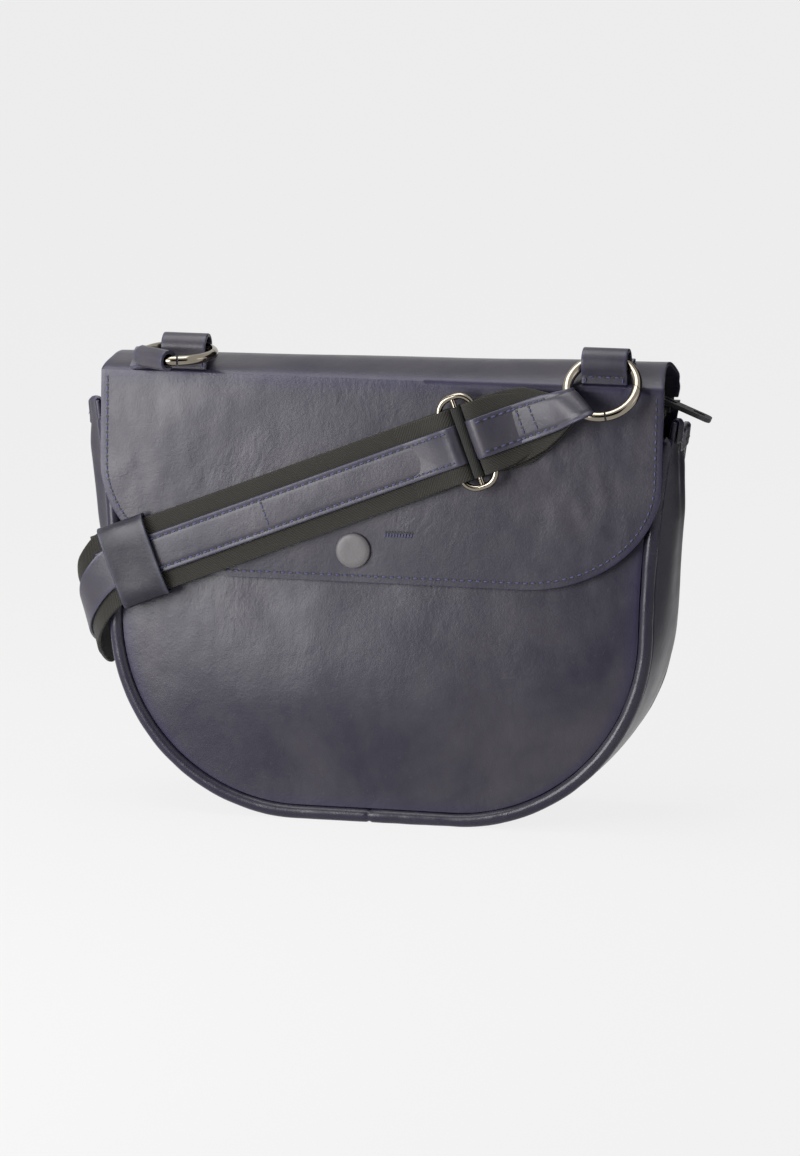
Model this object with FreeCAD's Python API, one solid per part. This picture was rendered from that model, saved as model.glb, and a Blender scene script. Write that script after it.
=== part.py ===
"""Leather saddle handbag with a flap, an open zip, two spring-gate rings and a webbing strap.

Frame: +X to the right seen from the front, -Y to the front, +Z up.
The origin is the centre of the flat patch of the base that the bag rests on. Millimetres.
"""
import FreeCAD
import Part
import math
import os

Vec = FreeCAD.Vector
X_AXIS = Vec(1, 0, 0)
Y_AXIS = Vec(0, 1, 0)
Z_AXIS = Vec(0, 0, 1)

# Running clearances
seat_gap = 0.3
overrun = 20.0

# Body outline, seen from the front
base_flat_width = 80.0
base_seam_x = -3.0
corner_radius = 100.0
flare = 10.0
flare_height = 110.0
gusset_top = 200.0
panel_top = 212.0
half_depth = 40.0
top_pinch = 15.0
pinch_height = 210.0

# Leather body
leather = 2.0
welt_radius = 3.5
panel_recess = 2.5
hem_leather = 1.2
hem_height = 10.0
lining_cloth = 0.6
lining_top = 185.0
stiffener_width = 76.0
stiffener_depth = 52.0
stiffener_thickness = 2.0

# Zip along the mouth
zip_drop = 3.0
zip_half_length = 138.0
tape_thickness = 0.8
teeth_inner = 4.6
teeth_width = 2.4
teeth_height = 3.0
tooth_pitch = 4.0
tooth_length = 2.2
tooth_depth = 1.2
facing_width = 8.0
facing_thickness = 1.6
stop_length = 3.0
slider_length = 14.0
slider_width = 16.0
slider_height = 8.4
slider_web = 8.0
slider_centre = 131.0
crown_length = 9.0
crown_height = 3.6
crown_width = 3.0
pull_pin_radius = 0.9
pull_width = 8.4
pull_length = 31.0
pull_thickness = 2.2
pull_corner = 2.8
pull_eye_length = 6.0
pull_eye_width = 3.8
pull_hole_length = 6.0
pull_hole_width = 3.0
pull_droop = 22.0

# Flap and top yoke
flap_gap = 0.4
flap_half_width = 144.0
flap_bottom = 122.0
flap_corner = 52.0
crease_height = 225.0
ridge_y = 4.0
ridge_height = 231.0
shoulder_height = 222.0

# Snap closure
snap_x = -12.0
snap_height = 138.0
snap_radius = 9.0
snap_dome = 2.6
snap_edge_share = 0.6
snap_half_radius = 7.0
snap_half_thickness = 1.1

# Rings and tabs
ring_radius = 17.5
wire_radius = 2.5
tab_left_x = -101.0
tab_right_x = 114.0
tab_width = 23.0
tab_y = -21.0
tab_rise = 11.0
tab_base_length = 9.0
ring_right_lean = 43.0
ring_left_lean = 86.0
gate_start = -75.0
gate_sweep = 75.0
gate_overrun = 25.0
half_turn = 180.0
gate_gap = 0.9
strap_loop_width = 20.0
loop_right_angle = 222.0
loop_left_angle = 240.0

# Strap
strap_slope = 21.4
strap_line_height = 177.0
webbing_width = 38.0
webbing_thickness = 2.0
overlay_width = 20.0
overlay_thickness = 1.8
strap_standoff = 6.5
strap_left_end = -150.0
strap_right_end = 98.0
overlay_break = 51.0
overlay_break_gap = 5.0
return_left_end = 66.0
buckle_place = 51.0
buckle_wire = 1.7
buckle_half_length = 7.8
keeper_place = -133.0
keeper_length = 24.0
keeper_leather = 1.6
wrap_bulge = 9.0
wrap_start = -144.5
back_run_end = -60.0
back_rise_top = 200.0
back_rise_x = -133.0
tail_width = 20.0
tail_thickness = 2.0
tail_rest_height = 233.6
tail_front_height = 229.6
tail_back_y = 14.0
tail_front_y = -37.0
tail_front_x = -122.0
layer_gap = 0.2

# Worked-out sizes
tilt = math.degrees(math.atan2(top_pinch, pinch_height))
welt_diameter = 2 * welt_radius
zip_height = panel_top - zip_drop
tab_height = crease_height + tab_rise
strap_build = webbing_thickness + overlay_thickness + layer_gap
tab_sag = ring_radius - math.sqrt(ring_radius ** 2 - (tab_width / 2) ** 2)
loop_sag = ring_radius - math.sqrt(ring_radius ** 2 - (strap_loop_width / 2) ** 2)
tab_slant = 1 - tab_sag / ring_radius
loop_slant = 1 - loop_sag / ring_radius
tab_bore = wire_radius / tab_slant + seat_gap + tab_sag / 2
loop_bore = wire_radius / loop_slant + seat_gap + loop_sag / 2
pivot_reach = ring_radius - tab_sag / 2
yoke_back_y = half_depth - top_pinch * panel_top / pinch_height - panel_recess


def save(name, shape):
    """Write one node and print its volume."""
    shape.exportStep("parts/" + name + ".step")
    print(f"{name:22s} solids {len(shape.Solids)} volume {shape.Volume:10.1f} valid {shape.isValid()}")


def block(x0, x1, y0, y1, z0, z1):
    """A box between two corners."""
    return Part.makeBox(x1 - x0, y1 - y0, z1 - z0, Vec(x0, y0, z0))


def front(shape):
    """Lean a piece built on the plane y = 0 onto the front of the bag."""
    placed = shape.copy()
    placed.rotate(Vec(), X_AXIS, -tilt)
    placed.translate(Vec(0, -half_depth, 0))
    return placed


def back(shape):
    """The same on the back of the bag."""
    return front(shape).mirror(Vec(), Y_AXIS)


def side_x(inset, height):
    """Half width of the outline on its flared side."""
    radius = (flare ** 2 + flare_height ** 2) / (2 * flare)
    rise = height - corner_radius
    start = base_flat_width / 2 + corner_radius - inset
    return start + radius - math.sqrt(radius ** 2 - rise ** 2)


def outline_edges(inset, top):
    """Open outline from the left top, round the base, to the right top."""
    half_base = base_flat_width / 2
    radius = corner_radius - inset
    diagonal = radius * math.sqrt(0.5)
    middle = (corner_radius + top) / 2
    edges = []
    for side in (-1, 1):
        top_point = Vec(side * side_x(inset, top), 0, top)
        middle_point = Vec(side * side_x(inset, middle), 0, middle)
        bend_point = Vec(side * (half_base + radius), 0, corner_radius)
        round_point = Vec(side * (half_base + diagonal), 0, corner_radius - diagonal)
        base_point = Vec(side * half_base, 0, inset)
        flank = Part.Arc(top_point, middle_point, bend_point).toShape()
        corner = Part.Arc(bend_point, round_point, base_point).toShape()
        edges.append([flank, corner])
    base = Part.LineSegment(Vec(-half_base, 0, inset), Vec(half_base, 0, inset)).toShape()
    return edges[0] + [base] + edges[1][::-1]


def outline_prism(inset, top, y0, y1):
    """The outline closed across its top and run from y0 to y1."""
    lid = Part.LineSegment(Vec(side_x(inset, top), 0, top), Vec(-side_x(inset, top), 0, top)).toShape()
    face = Part.Face(Part.Wire(Part.__sortEdges__(outline_edges(inset, top) + [lid])))
    prism = face.extrude(Vec(0, y1 - y0, 0))
    prism.translate(Vec(0, y0, 0))
    return prism


def wedge(inset):
    """Everything between the leaning front and back planes, moved in by inset."""
    low_y = half_depth - inset + top_pinch * overrun / pinch_height
    high_y = half_depth - inset - top_pinch * (panel_top + overrun) / pinch_height
    half_length = base_flat_width / 2 + corner_radius + flare + overrun
    corners = [(-low_y, -overrun), (low_y, -overrun), (high_y, panel_top + overrun), (-high_y, panel_top + overrun)]
    points = [Vec(-half_length, y, z) for y, z in corners]
    face = Part.Face(Part.makePolygon(points + points[:1]))
    return face.extrude(Vec(2 * half_length, 0, 0))


def ring_band(outer_inset, inner_inset, top, side_inset):
    """A band that follows the outline, open at the top."""
    outer = outline_prism(outer_inset, top, -half_depth, half_depth)
    inner = outline_prism(inner_inset, top + overrun, -half_depth - overrun, half_depth + overrun)
    return outer.cut(inner).common(wedge(side_inset))


def tube_along(edges, radius, start, direction):
    """A round tube along a chain of edges."""
    circle = Part.Wire(Part.Circle(start, direction, radius).toShape())
    return Part.Wire(edges).makePipeShell([circle], True, True)


def panel():
    """Front or back panel, on the plane y = 0."""
    inset = welt_diameter + seat_gap
    return outline_prism(inset, panel_top, panel_recess, panel_recess + leather)


def welt():
    """Rolled welt round a panel's edge."""
    edges = outline_edges(welt_radius, gusset_top - welt_radius)
    tube = tube_along(edges, welt_radius, edges[0].Vertexes[0].Point, edges[0].tangentAt(edges[0].FirstParameter))
    tube.translate(Vec(0, welt_radius, 0))
    return tube


def gusset(side):
    """One half of the gusset, joined at the middle of the base."""
    band = ring_band(0, leather, gusset_top, welt_diameter)
    reach = base_flat_width + corner_radius + flare
    low = base_seam_x if side > 0 else -reach
    high = reach if side > 0 else base_seam_x
    return band.common(block(low, high, -2 * half_depth, 2 * half_depth, -overrun, panel_top))


def hem(side):
    """Turned hem over one gusset's top edge."""
    cover = ring_band(-hem_leather, leather + hem_leather, gusset_top + hem_leather, welt_diameter + hem_leather)
    wall = ring_band(-seat_gap / 2, leather + seat_gap / 2, gusset_top + seat_gap / 2, 0)
    reach = base_flat_width + corner_radius + flare
    keep = block(min(0, side * reach), max(0, side * reach), -half_depth, half_depth,
                 gusset_top - hem_height, panel_top)
    return cover.cut(wall).common(keep)


def lining():
    """Cloth pocket inside the leather."""
    side = welt_diameter + seat_gap
    outer = outline_prism(leather + seat_gap, lining_top, -half_depth, half_depth).common(wedge(side))
    inner_inset = leather + seat_gap + lining_cloth
    inner = outline_prism(inner_inset, lining_top + overrun, -half_depth, half_depth)
    return outer.cut(inner.common(wedge(side + lining_cloth)))


def base_stiffener():
    """Loose board on the bottom of the lining."""
    low = leather + seat_gap + lining_cloth + seat_gap / 2
    return block(-stiffener_width / 2, stiffener_width / 2, -stiffener_depth / 2, stiffener_depth / 2,
                 low, low + stiffener_thickness)


def inner_wall_y(height):
    """Where the inner face of the front panel stands at a height."""
    return -half_depth + panel_recess + leather + top_pinch * height / pinch_height


def zip_facing(side):
    """Leather facing inside the mouth, over the zip tape."""
    low = zip_height + tape_thickness / 2 + seat_gap / 3
    wall = inner_wall_y(low + facing_thickness) + seat_gap
    strip = block(-zip_half_length, zip_half_length, wall, wall + facing_width, low, low + facing_thickness)
    return strip if side < 0 else strip.mirror(Vec(), Y_AXIS)


def zip_tape(side):
    """One half of the zip's tape."""
    wall = inner_wall_y(zip_height + tape_thickness / 2) + seat_gap
    strip = block(-zip_half_length, zip_half_length, wall, -teeth_inner - teeth_width,
                  zip_height - tape_thickness / 2, zip_height + tape_thickness / 2)
    return strip if side < 0 else strip.mirror(Vec(), Y_AXIS)


def zip_teeth(side):
    """One row of teeth as a comb."""
    outer = -teeth_inner - teeth_width
    points = [Vec(-zip_half_length, outer, 0), Vec(zip_half_length, outer, 0)]
    root = -teeth_inner - tooth_depth
    count = int((2 * zip_half_length - tooth_length) / tooth_pitch)
    points.append(Vec(zip_half_length, root, 0))
    for index in range(count):
        right = zip_half_length - tooth_pitch * index - (tooth_pitch - tooth_length)
        left = right - tooth_length
        points += [Vec(right, root, 0), Vec(right, -teeth_inner, 0), Vec(left, -teeth_inner, 0), Vec(left, root, 0)]
    points.append(Vec(-zip_half_length, root, 0))
    comb = Part.Face(Part.makePolygon(points + points[:1])).extrude(Vec(0, 0, teeth_height))
    comb.translate(Vec(0, 0, zip_height - teeth_height / 2))
    return comb if side < 0 else comb.mirror(Vec(), Y_AXIS)


def zip_stops():
    """Four stops that close the ends of the two rows."""
    stops = []
    for end in (-1, 1):
        for side in (-1, 1):
            start = zip_half_length if end > 0 else -zip_half_length - stop_length
            low = min(side * teeth_inner, side * (teeth_inner + teeth_width))
            stops.append(block(start, start + stop_length, low, low + teeth_width,
                               zip_height - teeth_height / 2, zip_height + teeth_height / 2))
    return Part.makeCompound(stops)


def pull_pivot():
    """Centre of the pin that the zip pull swings on."""
    return Vec(slider_centre + crown_length / 2 - crown_width / 2, 0, zip_height + slider_height / 2 + crown_height)


def zip_slider():
    """Slider with a slot on each side for its row of teeth, and a pin for the pull."""
    centre = slider_centre
    half = slider_length / 2
    body = block(centre - half, centre + half, -slider_width / 2, slider_width / 2,
                 zip_height - slider_height / 2, zip_height + slider_height / 2)
    slot = teeth_height / 2 + seat_gap
    for side in (-1, 1):
        low = min(side * slider_web / 2, side * slider_width)
        high = max(side * slider_web / 2, side * slider_width)
        body = body.cut(block(centre - half - overrun, centre + half + overrun, low, high,
                              zip_height - slot, zip_height + slot))
    pivot = pull_pivot()
    ear_half = pull_width / 2 + seat_gap
    for side in (-1, 1):
        low = ear_half if side > 0 else -ear_half - crown_width / 2
        ear = block(pivot.x - crown_width / 2, pivot.x + crown_width / 2, low, low + crown_width / 2,
                    zip_height + slider_height / 2, pivot.z + crown_width / 2)
        body = body.fuse(ear)
    pin = Part.makeCylinder(pull_pin_radius, 2 * ear_half, pivot - Vec(0, ear_half, 0), Y_AXIS)
    return body.fuse(pin).removeSplitter()


def zip_pull():
    """Flat pull with a pin hole at one end and a slot at the other, drooping to the right."""
    pivot = pull_pivot()
    end = pull_eye_width / 2
    plate = block(-end, pull_length, -pull_width / 2, pull_width / 2, -pull_thickness / 2, pull_thickness / 2)
    long_edges = [edge for edge in plate.Edges if abs(edge.CenterOfMass.x - pull_length) < seat_gap
                  and abs(edge.CenterOfMass.z) < seat_gap]
    plate = plate.makeFillet(pull_corner, long_edges)
    pin_hole = Part.makeCylinder(pull_pin_radius + seat_gap / 4, 2 * pull_width, Vec(0, -pull_width, 0), Y_AXIS)
    barrel = Part.makeCylinder(pull_pin_radius + pull_thickness / 2, pull_width, Vec(0, -pull_width / 2, 0), Y_AXIS)
    slot_right = pull_length - pull_eye_width
    slot = block(slot_right - pull_hole_length, slot_right, -pull_hole_width / 2, pull_hole_width / 2,
                 -pull_thickness, pull_thickness)
    eye = block(pull_eye_length, pull_eye_length + pull_hole_length, -pull_hole_width / 2, pull_hole_width / 2,
                -pull_thickness, pull_thickness)
    pull = plate.fuse(barrel).cut(pin_hole).cut(slot).cut(eye).removeSplitter()
    pull.rotate(Vec(), Y_AXIS, pull_droop)
    pull.translate(pivot)
    return pull


def flap_front():
    """Front of the flap, one sheet from the crease to its rounded lower corners."""
    diagonal = flap_corner * (1 - math.sqrt(0.5))
    low = flap_bottom
    wide = flap_half_width
    edges = [
        Part.LineSegment(Vec(-wide, 0, crease_height), Vec(-wide, 0, low + flap_corner)),
        Part.Arc(Vec(-wide, 0, low + flap_corner), Vec(-wide + diagonal, 0, low + diagonal),
                 Vec(-wide + flap_corner, 0, low)),
        Part.LineSegment(Vec(-wide + flap_corner, 0, low), Vec(wide - flap_corner, 0, low)),
        Part.Arc(Vec(wide - flap_corner, 0, low), Vec(wide - diagonal, 0, low + diagonal),
                 Vec(wide, 0, low + flap_corner)),
        Part.LineSegment(Vec(wide, 0, low + flap_corner), Vec(wide, 0, crease_height)),
        Part.LineSegment(Vec(wide, 0, crease_height), Vec(-wide, 0, crease_height)),
    ]
    sheet = Part.Face(Part.Wire([edge.toShape() for edge in edges])).extrude(Vec(0, leather, 0))
    sheet.translate(Vec(0, -flap_gap - leather, 0))
    return front(sheet)


def crease_point():
    """Outer corner of the crease, in the plane of the bag's section."""
    lean = math.radians(tilt)
    y = -half_depth + crease_height * math.sin(lean) - (flap_gap + leather) * math.cos(lean)
    return y, crease_height * math.cos(lean) + (flap_gap + leather) * math.sin(lean)


def top_yoke():
    """Top of the flap: from the hinge line up the back, over the ridge, to the crease."""
    crease_y, crease_z = crease_point()
    crease_z += seat_gap / 3
    hinge_z = panel_top + seat_gap
    outer = Part.Arc(Vec(0, yoke_back_y, shoulder_height), Vec(0, ridge_y, ridge_height), Vec(0, crease_y, crease_z))
    inner = Part.Arc(Vec(0, crease_y + leather, crease_z), Vec(0, ridge_y, ridge_height - leather),
                     Vec(0, yoke_back_y - leather, shoulder_height))
    edges = [
        Part.LineSegment(Vec(0, yoke_back_y, hinge_z), Vec(0, yoke_back_y, shoulder_height)).toShape(),
        outer.toShape(),
        Part.LineSegment(Vec(0, crease_y, crease_z), Vec(0, crease_y + leather, crease_z)).toShape(),
        inner.toShape(),
        Part.LineSegment(Vec(0, yoke_back_y - leather, shoulder_height),
                         Vec(0, yoke_back_y - leather, hinge_z)).toShape(),
        Part.LineSegment(Vec(0, yoke_back_y - leather, hinge_z), Vec(0, yoke_back_y, hinge_z)).toShape(),
    ]
    sheet = Part.Face(Part.Wire(edges)).extrude(Vec(2 * flap_half_width, 0, 0))
    sheet.translate(Vec(-flap_half_width, 0, 0))
    return sheet


def snap_disc(y0, y1, radius):
    """A round disc of the snap, seen from the front."""
    disc = Part.makeCylinder(radius, y1 - y0, Vec(snap_x, y0, snap_height), Y_AXIS)
    return disc


def snap_button():
    """Leather-covered button on the front of the flap."""
    face = -flap_gap - leather
    disc = snap_disc(face - snap_dome, face, snap_radius)
    rim = [edge for edge in disc.Edges if abs(edge.CenterOfMass.y - (face - snap_dome)) < seat_gap]
    return front(disc.makeFillet(snap_dome * snap_edge_share, rim))


def ring_frame(tab_x, lean):
    """Ring centre, its sideways axis, its axis up to the tab, and its normal."""
    angle = math.radians(lean)
    up = Vec(0, math.sin(angle), math.cos(angle))
    pivot = Vec(tab_x, tab_y, tab_height)
    centre = pivot - up * pivot_reach
    return centre, X_AXIS, up, X_AXIS.cross(up)


def ring_sector(tab_x, lean, start, sweep):
    """Part of a ring, by angle from its sideways axis towards its tab."""
    centre, across, up, normal = ring_frame(tab_x, lean)
    first = math.radians(start)
    direction = across * math.cos(first) + up * math.sin(first)
    profile = Part.Face(Part.Wire(Part.Circle(centre + direction * ring_radius,
                                              normal.cross(direction), wire_radius).toShape()))
    return profile.revolve(centre, normal, sweep)


def gate_swing_space(tab_x, lean, gap):
    """Round space about the gate's pivot that its free end swings through."""
    centre, across, up, normal = ring_frame(tab_x, lean)
    first = math.radians(gate_start)
    pivot = centre + (across * math.cos(first) + up * math.sin(first)) * ring_radius
    reach = 2 * ring_radius * math.sin(math.radians(gate_sweep / 2)) + gap
    return Part.makeCylinder(reach, 4 * wire_radius, pivot - normal * (2 * wire_radius), normal)


def ring_wire(tab_x, lean):
    """The fixed part of a spring-gate ring."""
    gap_angle = math.degrees(gate_gap / ring_radius)
    middle = gate_start + gate_sweep / 2
    near = ring_sector(tab_x, lean, middle, half_turn).cut(gate_swing_space(tab_x, lean, seat_gap))
    far = ring_sector(tab_x, lean, middle + half_turn, half_turn - gate_sweep / 2 - gap_angle)
    return near.fuse(far).removeSplitter()


def gate(tab_x, lean):
    """The sprung part of a ring."""
    longer = ring_sector(tab_x, lean, gate_start, gate_sweep + gate_overrun)
    return longer.common(gate_swing_space(tab_x, lean, 0))


def sleeve(point, axis, bore, wall, length):
    """A short leather tube round a wire."""
    start = point - axis * (length / 2)
    tube = Part.makeCylinder(bore + wall, length, start, axis)
    return tube.cut(Part.makeCylinder(bore, length + 2 * overrun, start - axis * overrun, axis))


def tab(tab_x):
    """Leather tab sewn to the yoke, with a loop that holds its ring."""
    centre = Vec(tab_x, tab_y, tab_height)
    loop = sleeve(centre, X_AXIS, tab_bore, leather, tab_width)
    low = tab_height - tab_bore - leather
    foot = block(tab_x - tab_width / 2, tab_x + tab_width / 2, tab_y, tab_y + tab_bore + leather + tab_base_length,
                 low, low + leather)
    foot = foot.cut(Part.makeCylinder(tab_bore, 2 * tab_width, centre - X_AXIS * tab_width, X_AXIS))
    return loop.fuse(foot).cut(top_yoke_block()).removeSplitter()


def top_yoke_block():
    """The space under the outer face of the yoke, which the tabs are seated on."""
    crease_y, crease_z = crease_point()
    start = Vec(0, yoke_back_y, shoulder_height + seat_gap)
    ridge = Vec(0, ridge_y, ridge_height + seat_gap)
    crease = Vec(0, crease_y, crease_z + seat_gap)
    edges = [Part.Arc(start, ridge, crease).toShape(),
             Part.LineSegment(crease, Vec(0, crease_y, panel_top)).toShape(),
             Part.LineSegment(Vec(0, crease_y, panel_top), Vec(0, yoke_back_y, panel_top)).toShape(),
             Part.LineSegment(Vec(0, yoke_back_y, panel_top), start).toShape()]
    space = Part.Face(Part.Wire(edges)).extrude(Vec(2 * flap_half_width, 0, 0))
    space.translate(Vec(-flap_half_width, 0, 0))
    return space


def strap_end(tab_x, lean, angle_degrees):
    """Leather loop that holds the strap to a ring."""
    centre, across, up, normal = ring_frame(tab_x, lean)
    angle = math.radians(angle_degrees)
    outward = across * math.cos(angle) + up * math.sin(angle)
    axis = normal.cross(outward)
    return sleeve(centre + outward * (ring_radius - loop_sag / 2), axis, loop_bore, leather, strap_loop_width)


def along_strap(shape):
    """Turn a piece built along X onto the strap's line across the front of the flap."""
    placed = shape.copy()
    placed.rotate(Vec(), Y_AXIS, -strap_slope)
    placed.translate(Vec(0, 0, strap_line_height))
    return front(placed)


def strap_slab(start, end, width, standoff, thickness):
    """A flat run of strap: standoff is the gap from the bag's front plane to its inner face."""
    slab = along_strap(block(start, end, -standoff - thickness, -standoff, -width / 2, width / 2))
    return slab.cut(block(wrap_start - corner_radius, wrap_start + seat_gap, -2 * half_depth, half_depth,
                          0, panel_top))


def overlay_standoff():
    """Where the leather on the webbing starts."""
    return strap_standoff + webbing_thickness + layer_gap


def buckle():
    """Wire slide: an oblong loop under the webbing with a centre bar over it."""
    half_across = webbing_width / 2 + buckle_wire + seat_gap
    low_y = -strap_standoff + buckle_wire + seat_gap
    high_y = -overlay_standoff() - overlay_thickness - buckle_wire - seat_gap
    pieces = []
    for side in (-1, 1):
        bar = Part.makeCylinder(buckle_wire, 2 * half_across,
                                Vec(buckle_place + side * buckle_half_length, low_y, -half_across), Z_AXIS)
        rail = Part.makeCylinder(buckle_wire, 2 * buckle_half_length,
                                 Vec(buckle_place - buckle_half_length, low_y, side * half_across), X_AXIS)
        post = Part.makeCylinder(buckle_wire, low_y - high_y, Vec(buckle_place, high_y, side * half_across), Y_AXIS)
        knob = Part.makeSphere(buckle_wire, Vec(buckle_place, high_y, side * half_across))
        pieces += [bar, rail, post, knob]
        for end in (-1, 1):
            pieces.append(Part.makeSphere(buckle_wire, Vec(buckle_place + end * buckle_half_length, low_y,
                                                           side * half_across)))
    centre = Part.makeCylinder(buckle_wire, 2 * half_across, Vec(buckle_place, high_y, -half_across), Z_AXIS)
    frame = centre.multiFuse(pieces).removeSplitter()
    return along_strap(frame)


def keeper():
    """Leather sleeve that slides on the strap."""
    top = overlay_standoff() + overlay_thickness + seat_gap
    low = strap_standoff - seat_gap
    half = webbing_width / 2 + seat_gap
    wall = keeper_leather
    start = keeper_place - keeper_length / 2
    outer = block(start, start + keeper_length, -top - wall, -low + wall, -half - wall, half + wall)
    hole = block(start - overrun, start + keeper_length + overrun, -top, -low, -half, half)
    return along_strap(outer.cut(hole))


def wrap_y():
    """Depth of the strap's middle where it goes round the bag's left side."""
    height = strap_line_height + wrap_start * math.tan(math.radians(strap_slope))
    return half_depth - top_pinch * height / pinch_height + strap_standoff, height


def strap_wrap():
    """Strap round the bag's left side, from its front run to its back run."""
    depth, height = wrap_y()
    half = webbing_width / 2
    outer = oblong(wrap_bulge + strap_build, depth + strap_build, height - half, height + half)
    inner = oblong(wrap_bulge, depth, height - half - overrun, height + half + overrun)
    return outer.cut(inner)


def oblong(bulge, depth, low, high):
    """Half of a round-cornered oblong that starts at the wrap's start."""
    shift = bulge * (1 - math.sqrt(0.5))
    left = wrap_start - bulge
    edges = [
        Part.LineSegment(Vec(wrap_start, -depth, low), Vec(wrap_start, depth, low)),
        Part.Arc(Vec(wrap_start, depth, low), Vec(left + shift, depth - shift, low), Vec(left, depth - bulge, low)),
        Part.LineSegment(Vec(left, depth - bulge, low), Vec(left, -depth + bulge, low)),
        Part.Arc(Vec(left, -depth + bulge, low), Vec(left + shift, -depth + shift, low), Vec(wrap_start, -depth, low)),
    ]
    return Part.Face(Part.Wire([edge.toShape() for edge in edges])).extrude(Vec(0, 0, high - low))


def strap_back_run():
    """Strap along the back of the bag, from the wrap to its fold."""
    depth, height = wrap_y()
    half = webbing_width / 2
    return block(wrap_start + seat_gap, back_run_end, depth, depth + strap_build, height - half, height + half)


def back_rise_frame():
    """Start, direction and length of the strap's rise behind the bag."""
    depth, height = wrap_y()
    start = Vec(back_run_end - webbing_width / 2, depth + strap_build + seat_gap, height)
    end = Vec(back_rise_x, start.y, back_rise_top)
    return start, end


def strap_back_rise():
    """Strap from its fold up to the top of the back."""
    start, end = back_rise_frame()
    run = end - start
    slab = block(-webbing_width / 2, webbing_width / 2, 0, strap_build, -webbing_width / 2, run.Length)
    slab.rotate(Vec(), Y_AXIS, math.degrees(math.atan2(run.x, run.z)))
    slab.translate(start)
    past_fold = block(back_run_end - seat_gap, corner_radius, 0, 2 * half_depth, 0, panel_top)
    over_top = block(-2 * corner_radius, corner_radius, 0, 2 * half_depth, back_rise_top, 2 * panel_top)
    return slab.cut(past_fold).cut(over_top)


def strap_fold():
    """Half-round fold that joins the strap's back run to its rise."""
    depth, height = wrap_y()
    outer = strap_build + seat_gap / 2
    centre = Vec(back_run_end, depth + outer, height - webbing_width / 2)
    tube = Part.makeCylinder(outer, webbing_width, centre, Z_AXIS)
    tube = tube.cut(Part.makeCylinder(seat_gap / 2, webbing_width, centre, Z_AXIS))
    return tube.common(block(back_run_end, corner_radius, 0, 2 * half_depth, 0, panel_top))


def strap_tail_bend():
    """Strap that bends from the top of the back over the shoulder of the yoke."""
    start, end = back_rise_frame()
    top = tail_rest_height + tail_thickness
    rise_y = end.y + strap_build
    turn = rise_y - tail_back_y - overrun / 2
    edges = [
        Part.LineSegment(Vec(0, tail_back_y + seat_gap, top), Vec(0, rise_y - turn, top)),
        Part.Arc(Vec(0, rise_y - turn, top), Vec(0, rise_y - turn * (1 - math.sqrt(0.5)),
                 top - turn * (1 - math.sqrt(0.5))), Vec(0, rise_y, top - turn)),
        Part.LineSegment(Vec(0, rise_y, top - turn), Vec(0, rise_y, back_rise_top + seat_gap)),
        Part.LineSegment(Vec(0, rise_y, back_rise_top + seat_gap),
                         Vec(0, rise_y - tail_thickness, back_rise_top + seat_gap)),
        Part.LineSegment(Vec(0, rise_y - tail_thickness, back_rise_top + seat_gap),
                         Vec(0, rise_y - tail_thickness, top - turn)),
        Part.Arc(Vec(0, rise_y - tail_thickness, top - turn),
                 Vec(0, rise_y - turn + (turn - tail_thickness) * math.sqrt(0.5),
                     top - turn + (turn - tail_thickness) * math.sqrt(0.5)),
                 Vec(0, rise_y - turn, top - tail_thickness)),
        Part.LineSegment(Vec(0, rise_y - turn, top - tail_thickness),
                         Vec(0, tail_back_y + seat_gap, top - tail_thickness)),
        Part.LineSegment(Vec(0, tail_back_y + seat_gap, top - tail_thickness),
                         Vec(0, tail_back_y + seat_gap, top)),
    ]
    face = Part.Face(Part.Wire([edge.toShape() for edge in edges]))
    bend = face.extrude(Vec(tail_width, 0, 0))
    bend.translate(Vec(back_rise_x - tail_width / 2, 0, 0))
    return bend


def strap_tail():
    """Leather tail from the left ring back over the yoke, beside its tab."""
    start = Vec(tail_front_x, tail_front_y, tail_front_height)
    end = Vec(back_rise_x, tail_back_y, tail_rest_height)
    run = end - start
    slab = block(-tail_width / 2, tail_width / 2, 0, run.Length + tail_width / 2, 0, tail_thickness)
    slab.rotate(Vec(), X_AXIS, math.degrees(math.asin(run.z / run.Length)))
    slab.rotate(Vec(), Z_AXIS, math.degrees(math.atan2(-run.x, run.y)))
    slab.translate(start)
    behind = block(-2 * corner_radius, 0, tail_back_y, half_depth, panel_top, 2 * panel_top)
    return slab.cut(behind)


os.makedirs("parts", exist_ok=True)
save("front_panel", front(panel()))
save("back_panel", back(panel()))
save("front_welt", front(welt()))
save("back_welt", back(welt()))
save("gusset_left", gusset(-1))
save("gusset_right", gusset(1))
save("hem_left", hem(-1))
save("hem_right", hem(1))
save("lining", lining())
save("base_stiffener", base_stiffener())
save("zip_facing_front", zip_facing(-1))
save("zip_facing_back", zip_facing(1))
save("zip_tape_front", zip_tape(-1))
save("zip_tape_back", zip_tape(1))
save("zip_teeth_front", zip_teeth(-1))
save("zip_teeth_back", zip_teeth(1))
save("zip_stops", zip_stops())
save("zip_slider", zip_slider())
save("zip_pull", zip_pull())
save("flap_front", flap_front())
save("top_yoke", top_yoke())
save("snap_button", snap_button())
save("ring_right", ring_wire(tab_right_x, ring_right_lean))
save("gate_right", gate(tab_right_x, ring_right_lean))
save("ring_left", ring_wire(tab_left_x, ring_left_lean))
save("gate_left", gate(tab_left_x, ring_left_lean))
save("tab_left", tab(tab_left_x))
save("tab_right", tab(tab_right_x))
save("strap_end_right", strap_end(tab_right_x, ring_right_lean, loop_right_angle))
save("strap_end_left", strap_end(tab_left_x, ring_left_lean, loop_left_angle))
save("strap_webbing", strap_slab(strap_left_end, strap_right_end, webbing_width, strap_standoff, webbing_thickness))
save("strap_overlay_left", strap_slab(strap_left_end, overlay_break - overlay_break_gap / 2, overlay_width,
                                      overlay_standoff(), overlay_thickness))
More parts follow.
